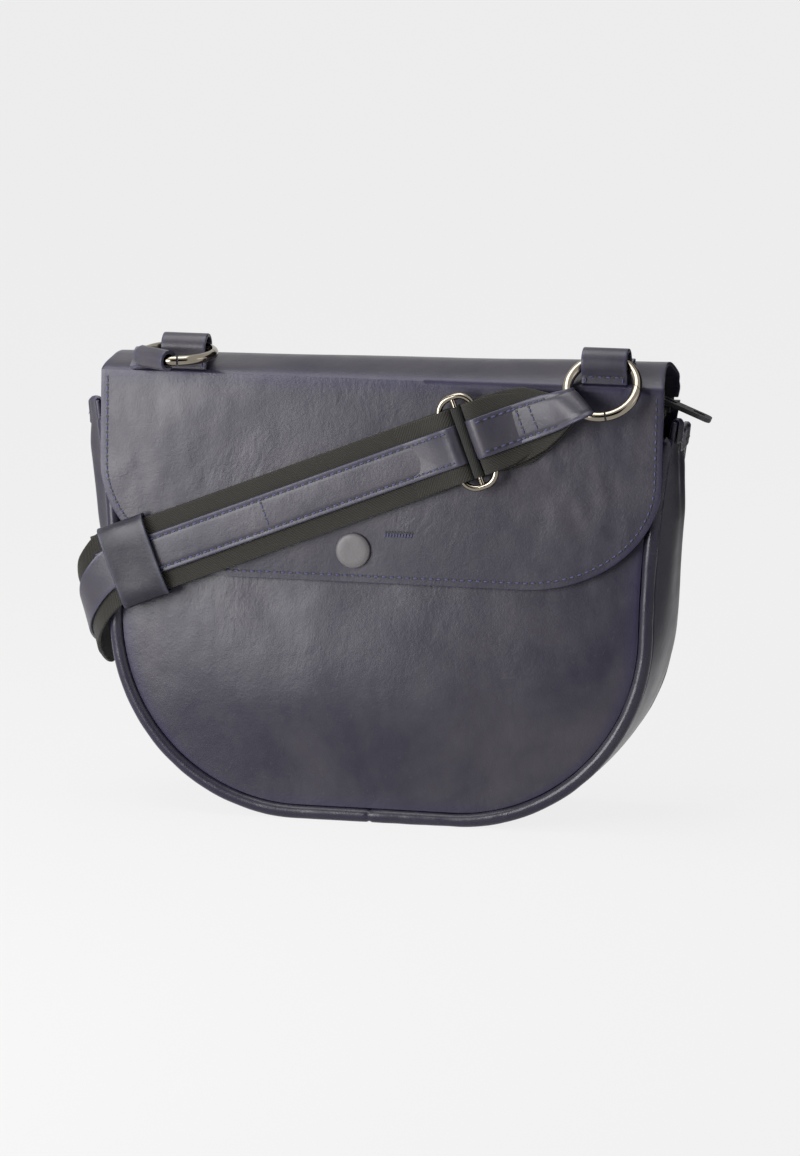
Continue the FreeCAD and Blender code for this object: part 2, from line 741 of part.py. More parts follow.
save("strap_overlay_right", strap_slab(overlay_break + overlay_break_gap / 2, strap_right_end, overlay_width,
                                       overlay_standoff(), overlay_thickness))
save("strap_return", strap_slab(return_left_end, strap_right_end, webbing_width,
                                strap_standoff - seat_gap - webbing_thickness, webbing_thickness))
save("buckle", buckle())
save("keeper", keeper())
save("strap_wrap", strap_wrap())
save("strap_back_run", strap_back_run())
save("strap_back_rise", strap_back_rise())
save("strap_fold", strap_fold())
save("strap_tail", strap_tail())
save("strap_tail_bend", strap_tail_bend())
save("snap_socket", front(snap_disc(-flap_gap, -flap_gap + snap_half_thickness, snap_half_radius)))
save("snap_base", front(snap_disc(panel_recess - snap_half_thickness, panel_recess, snap_half_radius)))
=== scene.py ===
# %% [markdown]
# # A navy leather saddle handbag
# The bag has a rounded front and back joined by a gusset, a stitched flap, two spring-gate rings and
# a strap of webbing with leather on it. Most metal parts come from the CAD frame. Everything soft is
# modelled here as leather and cloth, about where its CAD solid is and about as large. To follow the
# photograph, the front swells further than its solid, the wrap hangs lower and the slide is larger.

import math

import bpy
from mathutils import Matrix, Vector, noise


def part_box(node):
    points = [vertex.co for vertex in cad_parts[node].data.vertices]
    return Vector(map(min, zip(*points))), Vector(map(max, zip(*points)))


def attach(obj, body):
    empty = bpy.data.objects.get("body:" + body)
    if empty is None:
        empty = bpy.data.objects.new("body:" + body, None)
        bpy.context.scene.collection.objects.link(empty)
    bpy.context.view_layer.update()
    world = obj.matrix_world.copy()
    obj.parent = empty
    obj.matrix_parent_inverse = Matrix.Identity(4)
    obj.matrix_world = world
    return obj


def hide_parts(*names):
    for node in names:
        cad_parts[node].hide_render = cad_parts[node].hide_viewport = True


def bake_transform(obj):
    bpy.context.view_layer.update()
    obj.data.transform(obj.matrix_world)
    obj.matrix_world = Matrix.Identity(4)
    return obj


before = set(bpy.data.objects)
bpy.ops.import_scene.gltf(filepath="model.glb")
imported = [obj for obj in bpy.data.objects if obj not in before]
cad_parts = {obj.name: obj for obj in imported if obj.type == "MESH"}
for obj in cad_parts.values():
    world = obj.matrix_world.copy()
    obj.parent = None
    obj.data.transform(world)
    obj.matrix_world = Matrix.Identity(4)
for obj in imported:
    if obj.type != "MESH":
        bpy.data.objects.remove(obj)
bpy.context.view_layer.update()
bpy.ops.object.select_all(action="DESELECT")
MM = 0.001

# %% [markdown]
# ## The camera comes first
# The photograph was taken from a little to the right of the front and a little above. A long lens
# keeps the bag's sides nearly parallel, as they are there, so the camera stands well back.

# %% Camera
view_azimuth = math.radians(13.5)
view_elevation = math.radians(11.0)
camera_distance = 3.0
lens_length, film_height = 183.5, 36
aim_right, aim_up = 0.004, 0.116
view_right = Vector((math.cos(view_azimuth), math.sin(view_azimuth), 0))
view_back = Vector((math.sin(view_azimuth) * math.cos(view_elevation),
                    -math.cos(view_azimuth) * math.cos(view_elevation), math.sin(view_elevation)))
view_up = view_back.cross(view_right)
aim = view_right * aim_right + view_up * aim_up
bpy.ops.object.camera_add(location=aim + view_back * camera_distance)
camera = bpy.context.object
camera.rotation_euler = view_back.to_track_quat("Z", "Y").to_euler()
camera.data.sensor_fit = "VERTICAL"
camera.data.sensor_height = film_height
camera.data.lens = lens_length
bpy.context.scene.camera = camera
print("camera at", camera.location)

# %% [markdown]
# ## Finishes
# Every finish is built from nodes. A small class stands for one socket, so that shader maths can be
# written as plain sums, and one method adds any other node with its settings and its inputs.


# %% Shader maths
class Shade:
    """One output socket of a finish, with arithmetic that adds Math nodes."""

    def __init__(self, finish, socket):
        self.finish = finish
        self.socket = socket

    def maths(self, operation, first, second):
        return self.finish.node("ShaderNodeMath", {"operation": operation}, {0: first, 1: second})

    def __add__(self, other):
        return self.maths("ADD", self, other)

    def __radd__(self, other):
        return self.maths("ADD", other, self)

    def __sub__(self, other):
        return self.maths("SUBTRACT", self, other)

    def __rsub__(self, other):
        return self.maths("SUBTRACT", other, self)

    def __mul__(self, other):
        return self.maths("MULTIPLY", self, other)

    def __rmul__(self, other):
        return self.maths("MULTIPLY", other, self)


# %% Node boards
class NodeBoard:
    """The nodes of a material or of the world."""

    def __init__(self, tree):
        self.tree = tree

    def node(self, kind, settings=None, inputs=None, output=0):
        added = self.tree.nodes.new(kind)
        for key, value in (settings or {}).items():
            setattr(added, key, value)
        for key, value in (inputs or {}).items():
            self.feed(added.inputs[key], value)
        return Shade(self, added.outputs[output])

    def feed(self, socket, value):
        if isinstance(value, Shade):
            self.tree.links.new(value.socket, socket)
        else:
            socket.default_value = value

    def mix(self, factor, first, second):
        return self.node("ShaderNodeMix", {"data_type": "RGBA"}, {0: factor, 6: first, 7: second}, 2)

    def ramp(self, value, low, high):
        """Spread a value so that low becomes 0 and high becomes 1."""
        return self.node("ShaderNodeMapRange", {"interpolation_type": "SMOOTHSTEP"},
                         {"Value": value, "From Min": low, "From Max": high})

    def cloud(self, place, scale, detail=3.0, stretch=0.0):
        return self.node("ShaderNodeTexNoise", None,
                         {"Vector": place, "Scale": scale, "Detail": detail, "Distortion": stretch})

    def bump(self, height, strength, distance, below=None):
        inputs = {"Height": height, "Strength": strength, "Distance": distance}
        if below:
            inputs["Normal"] = below
        return self.node("ShaderNodeBump", None, inputs)

    def place(self):
        return self.node("ShaderNodeTexCoord", None, None, "Object")

    def background_rays(self):
        """1 for a ray that should see the plain background: the camera's, or one off metal or through glass."""
        camera_ray, glossy_ray, clear_ray = (self.node("ShaderNodeLightPath", None, None, ray) for ray in
                                             ("Is Camera Ray", "Is Glossy Ray", "Is Transmission Ray"))
        return camera_ray + glossy_ray + clear_ray


# %% Finish
class Finish(NodeBoard):
    """A material in the making."""

    def __init__(self, name):
        self.material = bpy.data.materials.new(name)
        self.material.use_nodes = True
        super().__init__(self.material.node_tree)
        self.surface = self.tree.nodes["Principled BSDF"]

    def set(self, **values):
        for key, value in values.items():
            self.feed(self.surface.inputs[key.replace("_", " ").title()], value)


# %% [markdown]
# ### Waxed leather
# The leather is a dark slate navy with a greyish waxy bloom in soft clouds. Where it is folded or
# turned over an edge, the wax cracks open and a violet blue shows. A painted picture could hold all
# this, but nodes stay sharp at any distance and need no file. So each sheet carries a "fold"
# attribute that says how near to an edge or a crease a point is, and noise does the rest. Fine grain,
# pores and drawn wrinkles are bumps.


# %% Leather
def leather_finish(name, deep, bloom, fold_tint, roughness):
    finish = Finish(name)
    place = finish.place()
    clouds = finish.ramp(finish.cloud(place, scale=13, detail=5, stretch=0.8), 0.34, 0.72)
    mottle = finish.cloud(place, scale=90, detail=4)
    fold = finish.node("ShaderNodeAttribute", {"attribute_name": "fold"}, None, "Fac")
    drift = finish.node("ShaderNodeTexNoise", None, {"Vector": place, "Scale": 24.0, "Detail": 2.0}, 1)
    bent = finish.node("ShaderNodeVectorMath", {"operation": "MULTIPLY_ADD"},
                       {0: drift, 1: (0.035, 0.035, 0.035), 2: place})
    drawn = finish.node("ShaderNodeMapping", None,
                        {"Vector": bent, "Rotation": (0, 0.5, 0), "Scale": (1.0, 1.0, 0.28)})
    streaks = finish.cloud(drawn, scale=240, detail=4)
    waxed = finish.mix(clouds * 0.6 + mottle * 0.2 + streaks * 0.25, deep, bloom)
    scuff = finish.ramp(finish.cloud(place, scale=260, detail=6, stretch=1.5), 0.62, 0.78)
    scuffed = finish.mix(scuff * 0.25, waxed, (0.075, 0.07, 0.075, 1))
    colour = finish.mix(fold * (0.4 + 0.5 * mottle), scuffed, fold_tint)
    pores = finish.node("ShaderNodeTexVoronoi", {"feature": "F1"}, {"Vector": place, "Scale": 1150.0}, "Distance")
    grain = finish.cloud(place, scale=620, detail=3)
    creased = finish.ramp(finish.cloud(place, scale=22, detail=2), 0.45, 0.68)
    wrinkles = finish.cloud(drawn, scale=330, detail=3) * creased
    fine = finish.bump(pores * 0.5 + grain, strength=0.22, distance=0.00022)
    shaped = finish.bump(wrinkles, strength=0.25, distance=0.0005, below=fine)
    soft = finish.bump(finish.cloud(place, scale=75, detail=4), strength=0.22, distance=0.0012, below=shaped)
    finish.set(base_color=colour, roughness=roughness + 0.16 * mottle - 0.05 * clouds, normal=soft)
    finish.surface.inputs["Specular IOR Level"].default_value = 0.3
    return finish.material


leather = leather_finish("navy_leather", (0.009, 0.008, 0.021, 1), (0.048, 0.043, 0.052, 1),
                         (0.014, 0.012, 0.044, 1), 0.30)
welt_leather = leather_finish("welt_leather", (0.010, 0.009, 0.018, 1), (0.032, 0.030, 0.040, 1),
                              (0.016, 0.014, 0.044, 1), 0.23)
strap_leather = leather_finish("strap_leather", (0.015, 0.014, 0.027, 1), (0.060, 0.055, 0.064, 1),
                               (0.042, 0.042, 0.078, 1), 0.30)
keeper_leather = leather_finish("keeper_leather", (0.005, 0.0045, 0.011, 1), (0.018, 0.0165, 0.024, 1),
                                (0.040, 0.040, 0.060, 1), 0.36)
# The button's leather is a much lighter copy: painted sheen of the light on its dome; its rolled rim keeps a
# darker tint.
button_leather_painted_sheen = leather_finish("button_leather_painted_sheen", (0.060, 0.056, 0.062, 1), (0.140, 0.132, 0.135, 1),
                                (0.018, 0.016, 0.032, 1), 0.34)
leathers = (leather, welt_leather, strap_leather, keeper_leather, button_leather_painted_sheen)
print("leathers", ", ".join(made.name for made in leathers))

# %% [markdown]
# ### Webbing, thread and cloth
# The webbing is a cotton twill in very dark olive. Modelled yarns would be far too many faces, so two
# sets of diagonal waves make the ribs. They are read from the piece's own UV map, which is laid out in
# millimetres, so the weave follows the strap round its bends. The thread is a twisted blue.


# %% Woven finishes
def woven_finish(name, dark, light, rib, strength):
    finish = Finish(name)
    flat = finish.node("ShaderNodeTexCoord", None, None, "UV")
    across, along = (finish.node("ShaderNodeSeparateXYZ", None, {0: flat}, axis) for axis in (0, 1))
    ribs = finish.node("ShaderNodeMath", {"operation": "SINE"}, {0: (across * 0.8 + along) * (2 * math.pi / rib)})
    picks = finish.node("ShaderNodeMath", {"operation": "SINE"},
                        {0: (across * 0.9 - along * 0.35) * (4 * math.pi / rib)})
    weave = ribs * 0.35 + picks * 0.15 + 0.5
    place = finish.place()
    fluff = finish.cloud(place, scale=1400, detail=4)
    faded = finish.cloud(place, scale=45, detail=3)
    colour = finish.mix(weave * 0.55 + fluff * 0.35 + faded * 0.2, dark, light)
    finish.set(base_color=colour, roughness=0.82 + 0.1 * fluff,
               normal=finish.bump(weave + fluff * 0.6, strength, distance=0.0004))
    finish.surface.inputs["Sheen Weight"].default_value = 0.08
    return finish.material


webbing = woven_finish("olive_webbing", (0.003, 0.003, 0.002, 1), (0.017, 0.0152, 0.010, 1), 1.5, 0.7)
# A near-black copy of the webbing: painted shade for the deep gap round the slide's centre bar.
bar_webbing_painted_shade = woven_finish("painted_shade_webbing", (0.002, 0.002, 0.0015, 1), (0.009, 0.0085, 0.006, 1), 1.5, 0.5)
lining_cloth = woven_finish("lining_cloth", (0.012, 0.012, 0.018, 1), (0.04, 0.04, 0.055, 1), 0.9, 0.3)
zip_tape = woven_finish("zip_tape", (0.006, 0.006, 0.008, 1), (0.03, 0.03, 0.035, 1), 1.0, 0.4)


# %% Thread
def thread_finish(name, dark, light):
    finish = Finish(name)
    place = finish.place()
    strands = finish.cloud(place, scale=2600, detail=2)
    finish.set(base_color=finish.mix(strands, dark, light), roughness=0.5 + 0.2 * strands,
               normal=finish.bump(strands, strength=0.5, distance=0.0002))
    return finish.material


thread = thread_finish("blue_thread", (0.014, 0.015, 0.05, 1), (0.065, 0.07, 0.165, 1))
# A near-black finish for a disc at each stitch's end: painted shade inside the needle hole.
needle_hole_painted_shade = thread_finish("needle_hole_painted_shade", (0.002, 0.002, 0.004, 1), (0.006, 0.006, 0.01, 1))
woven = (webbing, bar_webbing_painted_shade, lining_cloth, zip_tape, thread, needle_hole_painted_shade)
print("woven", ", ".join(made.name for made in woven))


# %% [markdown]
# ### Metal, rubber and board
# The rings and the slide are polished gunmetal with faint smudges, the zip is a duller metal, and the
# zip pull is a dark moulded strip. The board in the base is hidden under the lining. Metal takes its
# look from what it mirrors, so its nodes only add a little unevenness.


# %% Hard finishes
def metal_finish(name, colour, dull, roughness):
    finish = Finish(name)
    place = finish.place()
    smudge = finish.cloud(place, scale=120, detail=5)
    hairline = finish.cloud(place, scale=1500, detail=2)
    finish.set(base_color=finish.mix(smudge, colour, dull), roughness=roughness + 0.1 * smudge, metallic=1.0,
               normal=finish.bump(hairline, strength=0.05, distance=0.0001))
    return finish.material


gunmetal = metal_finish("polished_gunmetal", (0.31, 0.275, 0.22, 1), (0.21, 0.185, 0.15, 1), 0.07)
zip_metal = metal_finish("zip_metal", (0.16, 0.155, 0.155, 1), (0.09, 0.088, 0.09, 1), 0.28)


# %% Rubber and board
def plain_finish(name, dark, light, scale, roughness):
    finish = Finish(name)
    place = finish.place()
    speck = finish.cloud(place, scale, detail=4)
    finish.set(base_color=finish.mix(speck, dark, light), roughness=roughness + 0.15 * speck,
               normal=finish.bump(speck, strength=0.2, distance=0.0002))
    return finish.material


pull_rubber = plain_finish("pull_rubber", (0.008, 0.008, 0.010, 1), (0.028, 0.028, 0.033, 1), 800, 0.45)
board = plain_finish("grey_board", (0.10, 0.09, 0.075, 1), (0.18, 0.165, 0.14, 1), 500, 0.8)
print("hard", ", ".join(made.name for made in (gunmetal, zip_metal, pull_rubber, board)))

# %% [markdown]
# ## Sheets of leather
# Every soft piece starts as a flat grid, the way leather starts as a flat hide, and a small function
# says where each point of it goes, in millimetres. A cloth simulation could drape it too, but it would
# be slow and not come out the same each time. Solidify then gives the sheet its thickness and Bevel
# rounds its cut edges. The same function can be asked where a stitch lies, so thread sits on the leather.


# %% Sheet helpers
def finish_with(piece, kind, **settings):
    bpy.context.view_layer.objects.active = piece
    modifier = piece.modifiers.new(kind.title(), kind)
    for key, value in settings.items():
        setattr(modifier, key, value)
    bpy.ops.object.modifier_apply(modifier=modifier.name)


def sheet(name, columns, rows, place, fold=None, cloth_size=None):
    bpy.ops.object.select_all(action="DESELECT")
    bpy.ops.mesh.primitive_grid_add(x_subdivisions=columns, y_subdivisions=rows, size=1)
    piece = bpy.context.object
    piece.name = piece.data.name = name
    mesh = piece.data
    shares = [(point.co.x + 0.5, point.co.y + 0.5) for point in mesh.vertices]
    for point, (u, v) in zip(mesh.vertices, shares):
        point.co = Vector(place(u, v)) * MM
    marks = mesh.attributes.new("fold", "FLOAT", "POINT")
    for mark, (u, v) in zip(marks.data, shares):
        mark.value = fold(u, v) if fold else 0.0
    if cloth_size:
        for corner in mesh.uv_layers[0].data:
            corner.uv = (corner.uv[0] * cloth_size[0], corner.uv[1] * cloth_size[1])
    bpy.ops.object.shade_smooth()
    return piece


def close_seams(piece):
    bpy.ops.object.select_all(action="DESELECT")
    piece.select_set(True)
    bpy.context.view_layer.objects.active = piece
    bpy.ops.object.mode_set(mode="EDIT")
    bpy.ops.mesh.select_all(action="SELECT")
    bpy.ops.mesh.remove_doubles(threshold=0.00002)
    bpy.ops.mesh.normals_make_consistent(inside=False)
    bpy.ops.object.mode_set(mode="OBJECT")


def join_pieces(pieces):
    """Join pieces into the first of them."""
    bpy.ops.object.select_all(action="DESELECT")
    for piece in pieces:
        piece.select_set(True)
    bpy.context.view_layer.objects.active = pieces[0]
    bpy.ops.object.join()
    return pieces[0]


# %% Finishing helpers
def thicken(piece, thickness, edge=0.5):
    finish_with(piece, "SOLIDIFY", thickness=thickness * MM, offset=0)
    finish_with(piece, "BEVEL", width=edge * MM, segments=2, limit_method="ANGLE",
                angle_limit=math.radians(50))


def settle(piece, material, slot, body=None, replaced=()):
    piece.data.materials.clear()
    piece.data.materials.append(material)
    if body:
        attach(piece, body)
    if replaced:
        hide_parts(*replaced)
    print(piece.name, len(piece.data.polygons), "faces")
    return piece


def smooth(value, low, high):
    share = min(max((value - low) / (high - low), 0.0), 1.0)
    return share * share * (3 - 2 * share)


def lump(size, *place):
    return noise.noise(Vector(place) / size)


# %% [markdown]
# ## The body of the bag
# Seen from the front, the bag is a D on its back: a short flat base, two big round corners and sides
# that flare a little. The front and the back lean towards each other. The leather of the front is
# puffed out by what the bag holds, most of all at the belly under the flap.

# %% Outline of the body
base_half = 40.0
corner_radius = 100.0
flare_radius = 610.0
half_depth = 40.0
lean_in, lean_over = 15.0, 210.0
lean = math.atan2(lean_in, lean_over)
pinch = lean_in / lean_over
gusset_top = 200.0
panel_top = 212.0
welt_radius = 3.5
panel_recess = 2.5
leather_thickness = 2.0


def half_width(height, inset):
    if height < corner_radius:
        radius = corner_radius - inset
        return base_half + math.sqrt(max(radius ** 2 - (corner_radius - height) ** 2, 0))
    rise = height - corner_radius
    return base_half + corner_radius - inset + flare_radius - math.sqrt(flare_radius ** 2 - rise ** 2)


def on_front(x, height, out):
    return Vector((x, -half_depth + height * math.sin(lean) - out * math.cos(lean),
                   height * math.cos(lean) + out * math.sin(lean)))


def on_back(x, height, out):
    place = on_front(x, height, out)
    return Vector((place.x, -place.y, place.z))


front_normal = Vector((0, -math.cos(lean), math.sin(lean)))


# %% Rim
def rim_points(top):
    steps = 60
    right = [Vector((base_half * step / steps, 0)) for step in range(steps)]
    for step in range(steps):
        turn = math.pi / 2 * step / steps
        right.append(Vector((base_half + corner_radius * math.sin(turn),
                             corner_radius * (1 - math.cos(turn)))))
    for step in range(steps + 1):
        height = corner_radius + (top - corner_radius) * step / steps
        right.append(Vector((half_width(height, 0), height)))
    return [Vector((-point.x, point.y)) for point in right[:0:-1]] + right


def walker(points):
    """Give the point, and the direction, at a share of the way along a line of points."""
    lengths = [0.0]
    for first, second in zip(points, points[1:]):
        lengths.append(lengths[-1] + (second - first).length)

    def walk(share):
        goal = min(max(share, 0.0), 1.0) * lengths[-1]
        low, high = 0, len(points) - 2
        while low < high:
            middle = (low + high + 1) // 2
            if lengths[middle] <= goal:
                low = middle
            else:
                high = middle - 1
        run = points[low + 1] - points[low]
        part = (goal - lengths[low]) / max(run.length, 1e-9)
        return points[low] + run * part, run.normalized()

    walk.length = lengths[-1]
    return walk


rim_walk = walker(rim_points(gusset_top))


def rim(share, inset):
    point, run = rim_walk(share)
    outward = Vector((run.y, -run.x))
    return point - outward * inset, outward


print("rim is", round(rim_walk.length, 1), "mm long")

# %% [markdown]
# ### Front and back panels
# Each panel is a D of leather, cut to fit inside its welt. It could be sculpted by hand. Here its swell
# is a sum of smooth functions, so the flap can ask for the same swell later and lie on it.

# %% Front and back panels
panel_inset = 2 * welt_radius + 0.3
belly_swell, belly_height, belly_top = 6.0, 66.0, 150.0


def puff(x, height):
    if not panel_inset < height < belly_top:
        return 0.0
    side = 1 - min(abs(x) / half_width(height, panel_inset), 1.0) ** 2.4
    span = belly_height - panel_inset if height < belly_height else belly_top - belly_height
    return belly_swell * side * math.cos(math.pi / 2 * (height - belly_height) / span) ** 2


def panel_out(x, height):
    edge = 1 - min(abs(x) / half_width(height, panel_inset), 1.0) ** 4
    edge *= smooth(height, panel_inset, 40)
    dents = 0.9 * lump(55, x, height, 3) + 0.35 * lump(21, x, height * 0.6, 9)
    wrinkles = 0.28 * lump(7, x * 1.4, height * 0.5, 5) * smooth(abs(x), 60, 120)
    return puff(x, height) + (dents + wrinkles) * edge


# %% Panel sheets
def panel_place(side, fullness):
    def place(u, v):
        height = panel_inset + (panel_top - panel_inset) * v ** 1.7
        x = (2 * u - 1) * half_width(height, panel_inset)
        out = -panel_recess - leather_thickness / 2 + fullness * panel_out(x, height)
        return on_front(x, height, out) if side < 0 else on_back(-x, height, out)
    return place


def panel_fold(u, v):
    return max(smooth(abs(2 * u - 1), 0.93, 1.0), 1 - smooth(v, 0.0, 0.16)) * 0.8


for name, side, fullness in (("front_panel", -1, 1.0), ("back_panel", 1, 0.7)):
    panel = sheet("leather_" + name, 120, 100, panel_place(side, fullness), panel_fold)
    thicken(panel, leather_thickness)
    settle(panel, leather, "leather", "bag", [name])

# %% [markdown]
# ### Welts
# A rolled strip of leather runs round both panels and hides the seam. It is a tube whose thickness
# wavers a little, as a hand-turned roll does, with a notch where its two ends meet under the base. A
# curve with a round bevel would give a tube too, but not this waver, so a sheet is rolled up instead.

# %% Welts
base_seam_x = -3.0


def welt_place(place_on):
    def place(u, v):
        centre, outward = rim(u, welt_radius)
        turn = 2 * math.pi * v
        radius = welt_radius * (1 + 0.05 * lump(9, centre.x, centre.y, 2 * math.cos(turn)) +
                                0.05 * lump(30, centre.x, centre.y, 7))
        radius -= 0.7 * math.exp(-((centre.x - base_seam_x) / 0.7) ** 2) * (centre.y < corner_radius / 2)
        tip = min(u, 1 - u) * rim_walk.length
        if tip < welt_radius:
            radius *= math.sqrt(max(1 - (1 - tip / welt_radius) ** 2, 0.0004))
        flat = centre + outward * (radius * math.cos(turn))
        return place_on(flat.x, flat.y, -welt_radius + radius * math.sin(turn))
    return place


for name, place_on in (("front_welt", on_front), ("back_welt", on_back)):
    roll = sheet("rolled_" + name, 420, 20, welt_place(place_on),
                 lambda u, v: 0.35 + 0.3 * math.sin(6.3 * v + 2))
    close_seams(roll)
    settle(roll, welt_leather, "welt_leather", "bag", [name])

# %% [markdown]
# ### Gusset
# The gusset is one long strip between the welts. It bulges softly between them, and near the two ends
# it falls into long vertical folds, because the top of the bag is narrower than the middle. All of the
# folds go outwards from the CAD wall, so the lining behind it stays free. They could be sculpted, but
# as sums of waves they are the same at each run and easy to fade out towards the base.


# %% Gusset
def gusset_bulge(across, x, height):
    top_fade = 1 - smooth(height, 178, 196)
    side = smooth(height, 25, 120) * top_fade * (1.0 if x < 0 else 0.6)
    flank = 4.5 * smooth(height, 60, 120) * (1 - smooth(height, 155, 190)) * (x > 0)
    column = (6.0 if x < 0 else 0.8) * math.exp(-((across - 0.24) / 0.17) ** 2) * smooth(height, 95, 150)
    fold = 0.5 + 0.5 * math.sin(2 * math.pi * (1.35 * across + 0.16 * lump(60, height, x, 1)) + 0.6)
    crumple = 0.5 + 0.5 * lump(24, x, height * 0.45, across * 60)
    belly = math.sin(math.pi * across)
    loose = smooth(height, 3, 30) * top_fade + side * (2.6 * fold + 1.6 * crumple) + flank
    return belly * loose + column * min(belly * 1.6, 1)


mouth_dip, flare_slope = 6.5, 0.166


def gusset_lift(y, height):
    """The front of the mouth stands higher than its middle, where the zip pull passes."""
    return mouth_dip * smooth(-y, 5, 13) * smooth(height, 150, gusset_top)


def gusset_place(start, end):
    def place(u, v):
        share = start + (end - start) * u
        flat, outward = rim(share, leather_thickness / 2)
        y = (2 * v - 1) * (half_depth - 2 * welt_radius + 1.2 - pinch * flat.y)
        lift = gusset_lift(y, flat.y)
        flat = flat + outward * gusset_bulge(v, flat.x, flat.y)
        return (flat.x + math.copysign(flare_slope * lift, flat.x), y, flat.y + lift)
    return place


seam_share = 0.5 + base_seam_x / rim_walk.length
seam_gap = 0.0004
gusset_halves = (("gusset_left", 0.0, seam_share - seam_gap), ("gusset_right", seam_share + seam_gap, 1.0))
for name, start, end in gusset_halves:
    strip = sheet("leather_" + name, 190, 44, gusset_place(start, end),
                  lambda u, v: 0.5 * smooth(abs(2 * v - 1), 0.8, 1))
    thicken(strip, leather_thickness)
    settle(strip, leather, "leather", "bag", [name])

# %% [markdown]
# ### Hems, lining and zip tapes
# A turned strip binds each end of the gusset. Inside is a thin cloth pocket, and along the mouth two
# zip tapes lie under leather facings. These are seen when the flap is opened. The hem could be a bevelled
# box, but a strip led round a small loop has the soft turned edge of a real binding.

# %% Hems
hem_height = 10.0


def hem_place(side):
    loop = [(1.2, gusset_top - hem_height), (1.3, gusset_top - 5), (1.1, gusset_top - 0.3),
            (0.3, gusset_top + 0.9), (-1.6, gusset_top + 1.1), (-2.7, gusset_top - 0.3),
            (-2.9, gusset_top - 5), (-2.8, gusset_top - hem_height)]
    walk = walker([Vector(point) for point in loop])

    def place(u, v):
        (outward, height), _ = walk(u)
        depth = half_depth - 2 * welt_radius - 1.2 - pinch * height
        waver = 0.5 * lump(12, v * 50, side * 9, 4)
        lift = gusset_lift((2 * v - 1) * depth, height)
        x = half_width(height, 0) + flare_slope * lift + outward + waver + gusset_bulge(v, side, height)
        return (side * x, (2 * v - 1) * depth, height + lift)
    return place


for name, side in (("hem_left", -1), ("hem_right", 1)):
    binding = sheet("bound_" + name, 28, 30, hem_place(side),
                    lambda u, v: 1 - smooth(abs(u - 0.5), 0.05, 0.3))
    thicken(binding, 0.9, 0.3)
    settle(binding, leather, "leather", "bag", [name])


# %% Lining
lining_top = 185.0
lining_floor = 3.6
lining_inset = 2.6
lining_half = half_depth - 2 * welt_radius - 0.7


def lining_wall(side):
    def place(u, v):
        height = lining_floor + (lining_top - lining_floor) * v ** 1.7
        x = (2 * u - 1) * half_width(height, lining_inset)
        waver = 0.25 * lump(30, x, height, side)
        return (x, side * (lining_half - pinch * height - 0.3 - abs(waver)), height)
    return place


lining_walk = walker(rim_points(lining_top))


def lining_band(u, v):
    point, run = lining_walk(u)
    flat = point - Vector((run.y, -run.x)) * lining_inset
    return (flat.x, (2 * v - 1) * (lining_half - pinch * flat.y), flat.y)


cloths = [sheet("lining_front", 60, 40, lining_wall(-1), cloth_size=(280, 185)),
          sheet("lining_back", 60, 40, lining_wall(1), cloth_size=(280, 185)),
          sheet("lining_side", 120, 16, lining_band, cloth_size=(560, 60))]
pocket = join_pieces(cloths)
pocket.name = pocket.data.name = "cloth_pocket"
thicken(pocket, 0.4, 0.1)
settle(pocket, lining_cloth, "lining_cloth", "bag", ["lining"])

# %% Zip tapes and facings
tape_length = 276.0
zip_strips = (("zip_tape_front", zip_tape, "zip_tape"), ("zip_tape_back", zip_tape, "zip_tape"),
              ("zip_facing_front", leather, "leather"), ("zip_facing_back", leather, "leather"))
for node, material, slot_name in zip_strips:
    low, high = (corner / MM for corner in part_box(node))
    thickness = high.z - low.z

    def strip_place(u, v, low=low, high=high):
        waver = 0.12 * lump(14, u * 280, low.y, 2)
        return (low.x + (high.x - low.x) * u, low.y + (high.y - low.y) * v, (low.z + high.z) / 2 + waver)

    strip = sheet("soft_" + node, 120, 6, strip_place, lambda u, v: 0.4 * smooth(abs(2 * v - 1), 0.5, 1),
                  (tape_length, high.y - low.y))
    thicken(strip, thickness * 0.85, 0.25)
    settle(strip, material, slot_name, "bag", [node])

# %% [markdown]
# ## The flap
# The flap is one hide: it starts at the hinge line on the back, arches over the zip and folds sharply
# at the crease before it hangs down the front. Its lower corners are wide ellipses. It could be cut from
# the two CAD solids, but those meet in a seam that the hide hasn't got, so one sheet runs over both. It
# lies on the puffed front, so its shape is the front's own puff with some slack.

# %% Flap
snap_x, snap_height, snap_radius, snap_dome = -12.0, 138.0, 9.0, 2.7
flap_half_width = 144.0
flap_bottom = 122.0
flap_corner_across = 70.0
flap_corner_up = 56.0
crease_height = 224.6
hinge_height = 212.3
back_y = 22.36
shoulder_height = 222.0
ridge = Vector((4.0, 231.0))
crease = Vector((on_front(0, crease_height, 2.4).y, on_front(0, crease_height, 2.4).z))


# %% Arch of the flap
def circle_through(a, b, c):
    d = 2 * (a.x * (b.y - c.y) + b.x * (c.y - a.y) + c.x * (a.y - b.y))
    x = (a.length_squared * (b.y - c.y) + b.length_squared * (c.y - a.y) + c.length_squared * (a.y - b.y)) / d
    y = (a.length_squared * (c.x - b.x) + b.length_squared * (a.x - c.x) + c.length_squared * (b.x - a.x)) / d
    return Vector((x, y)), (a - Vector((x, y))).length


arch_centre, arch_radius = circle_through(Vector((back_y, shoulder_height)), ridge, crease)
arch_start = math.atan2(shoulder_height - arch_centre.y, back_y - arch_centre.x)
arch_end = math.atan2(crease.y - arch_centre.y, crease.x - arch_centre.x)


# %% Front of the flap
def flap_width(height):
    drop = flap_bottom + flap_corner_up - height
    if drop <= 0:
        return flap_half_width
    return flap_half_width - flap_corner_across * (1 - math.sqrt(max(1 - (drop / flap_corner_up) ** 2, 0)))


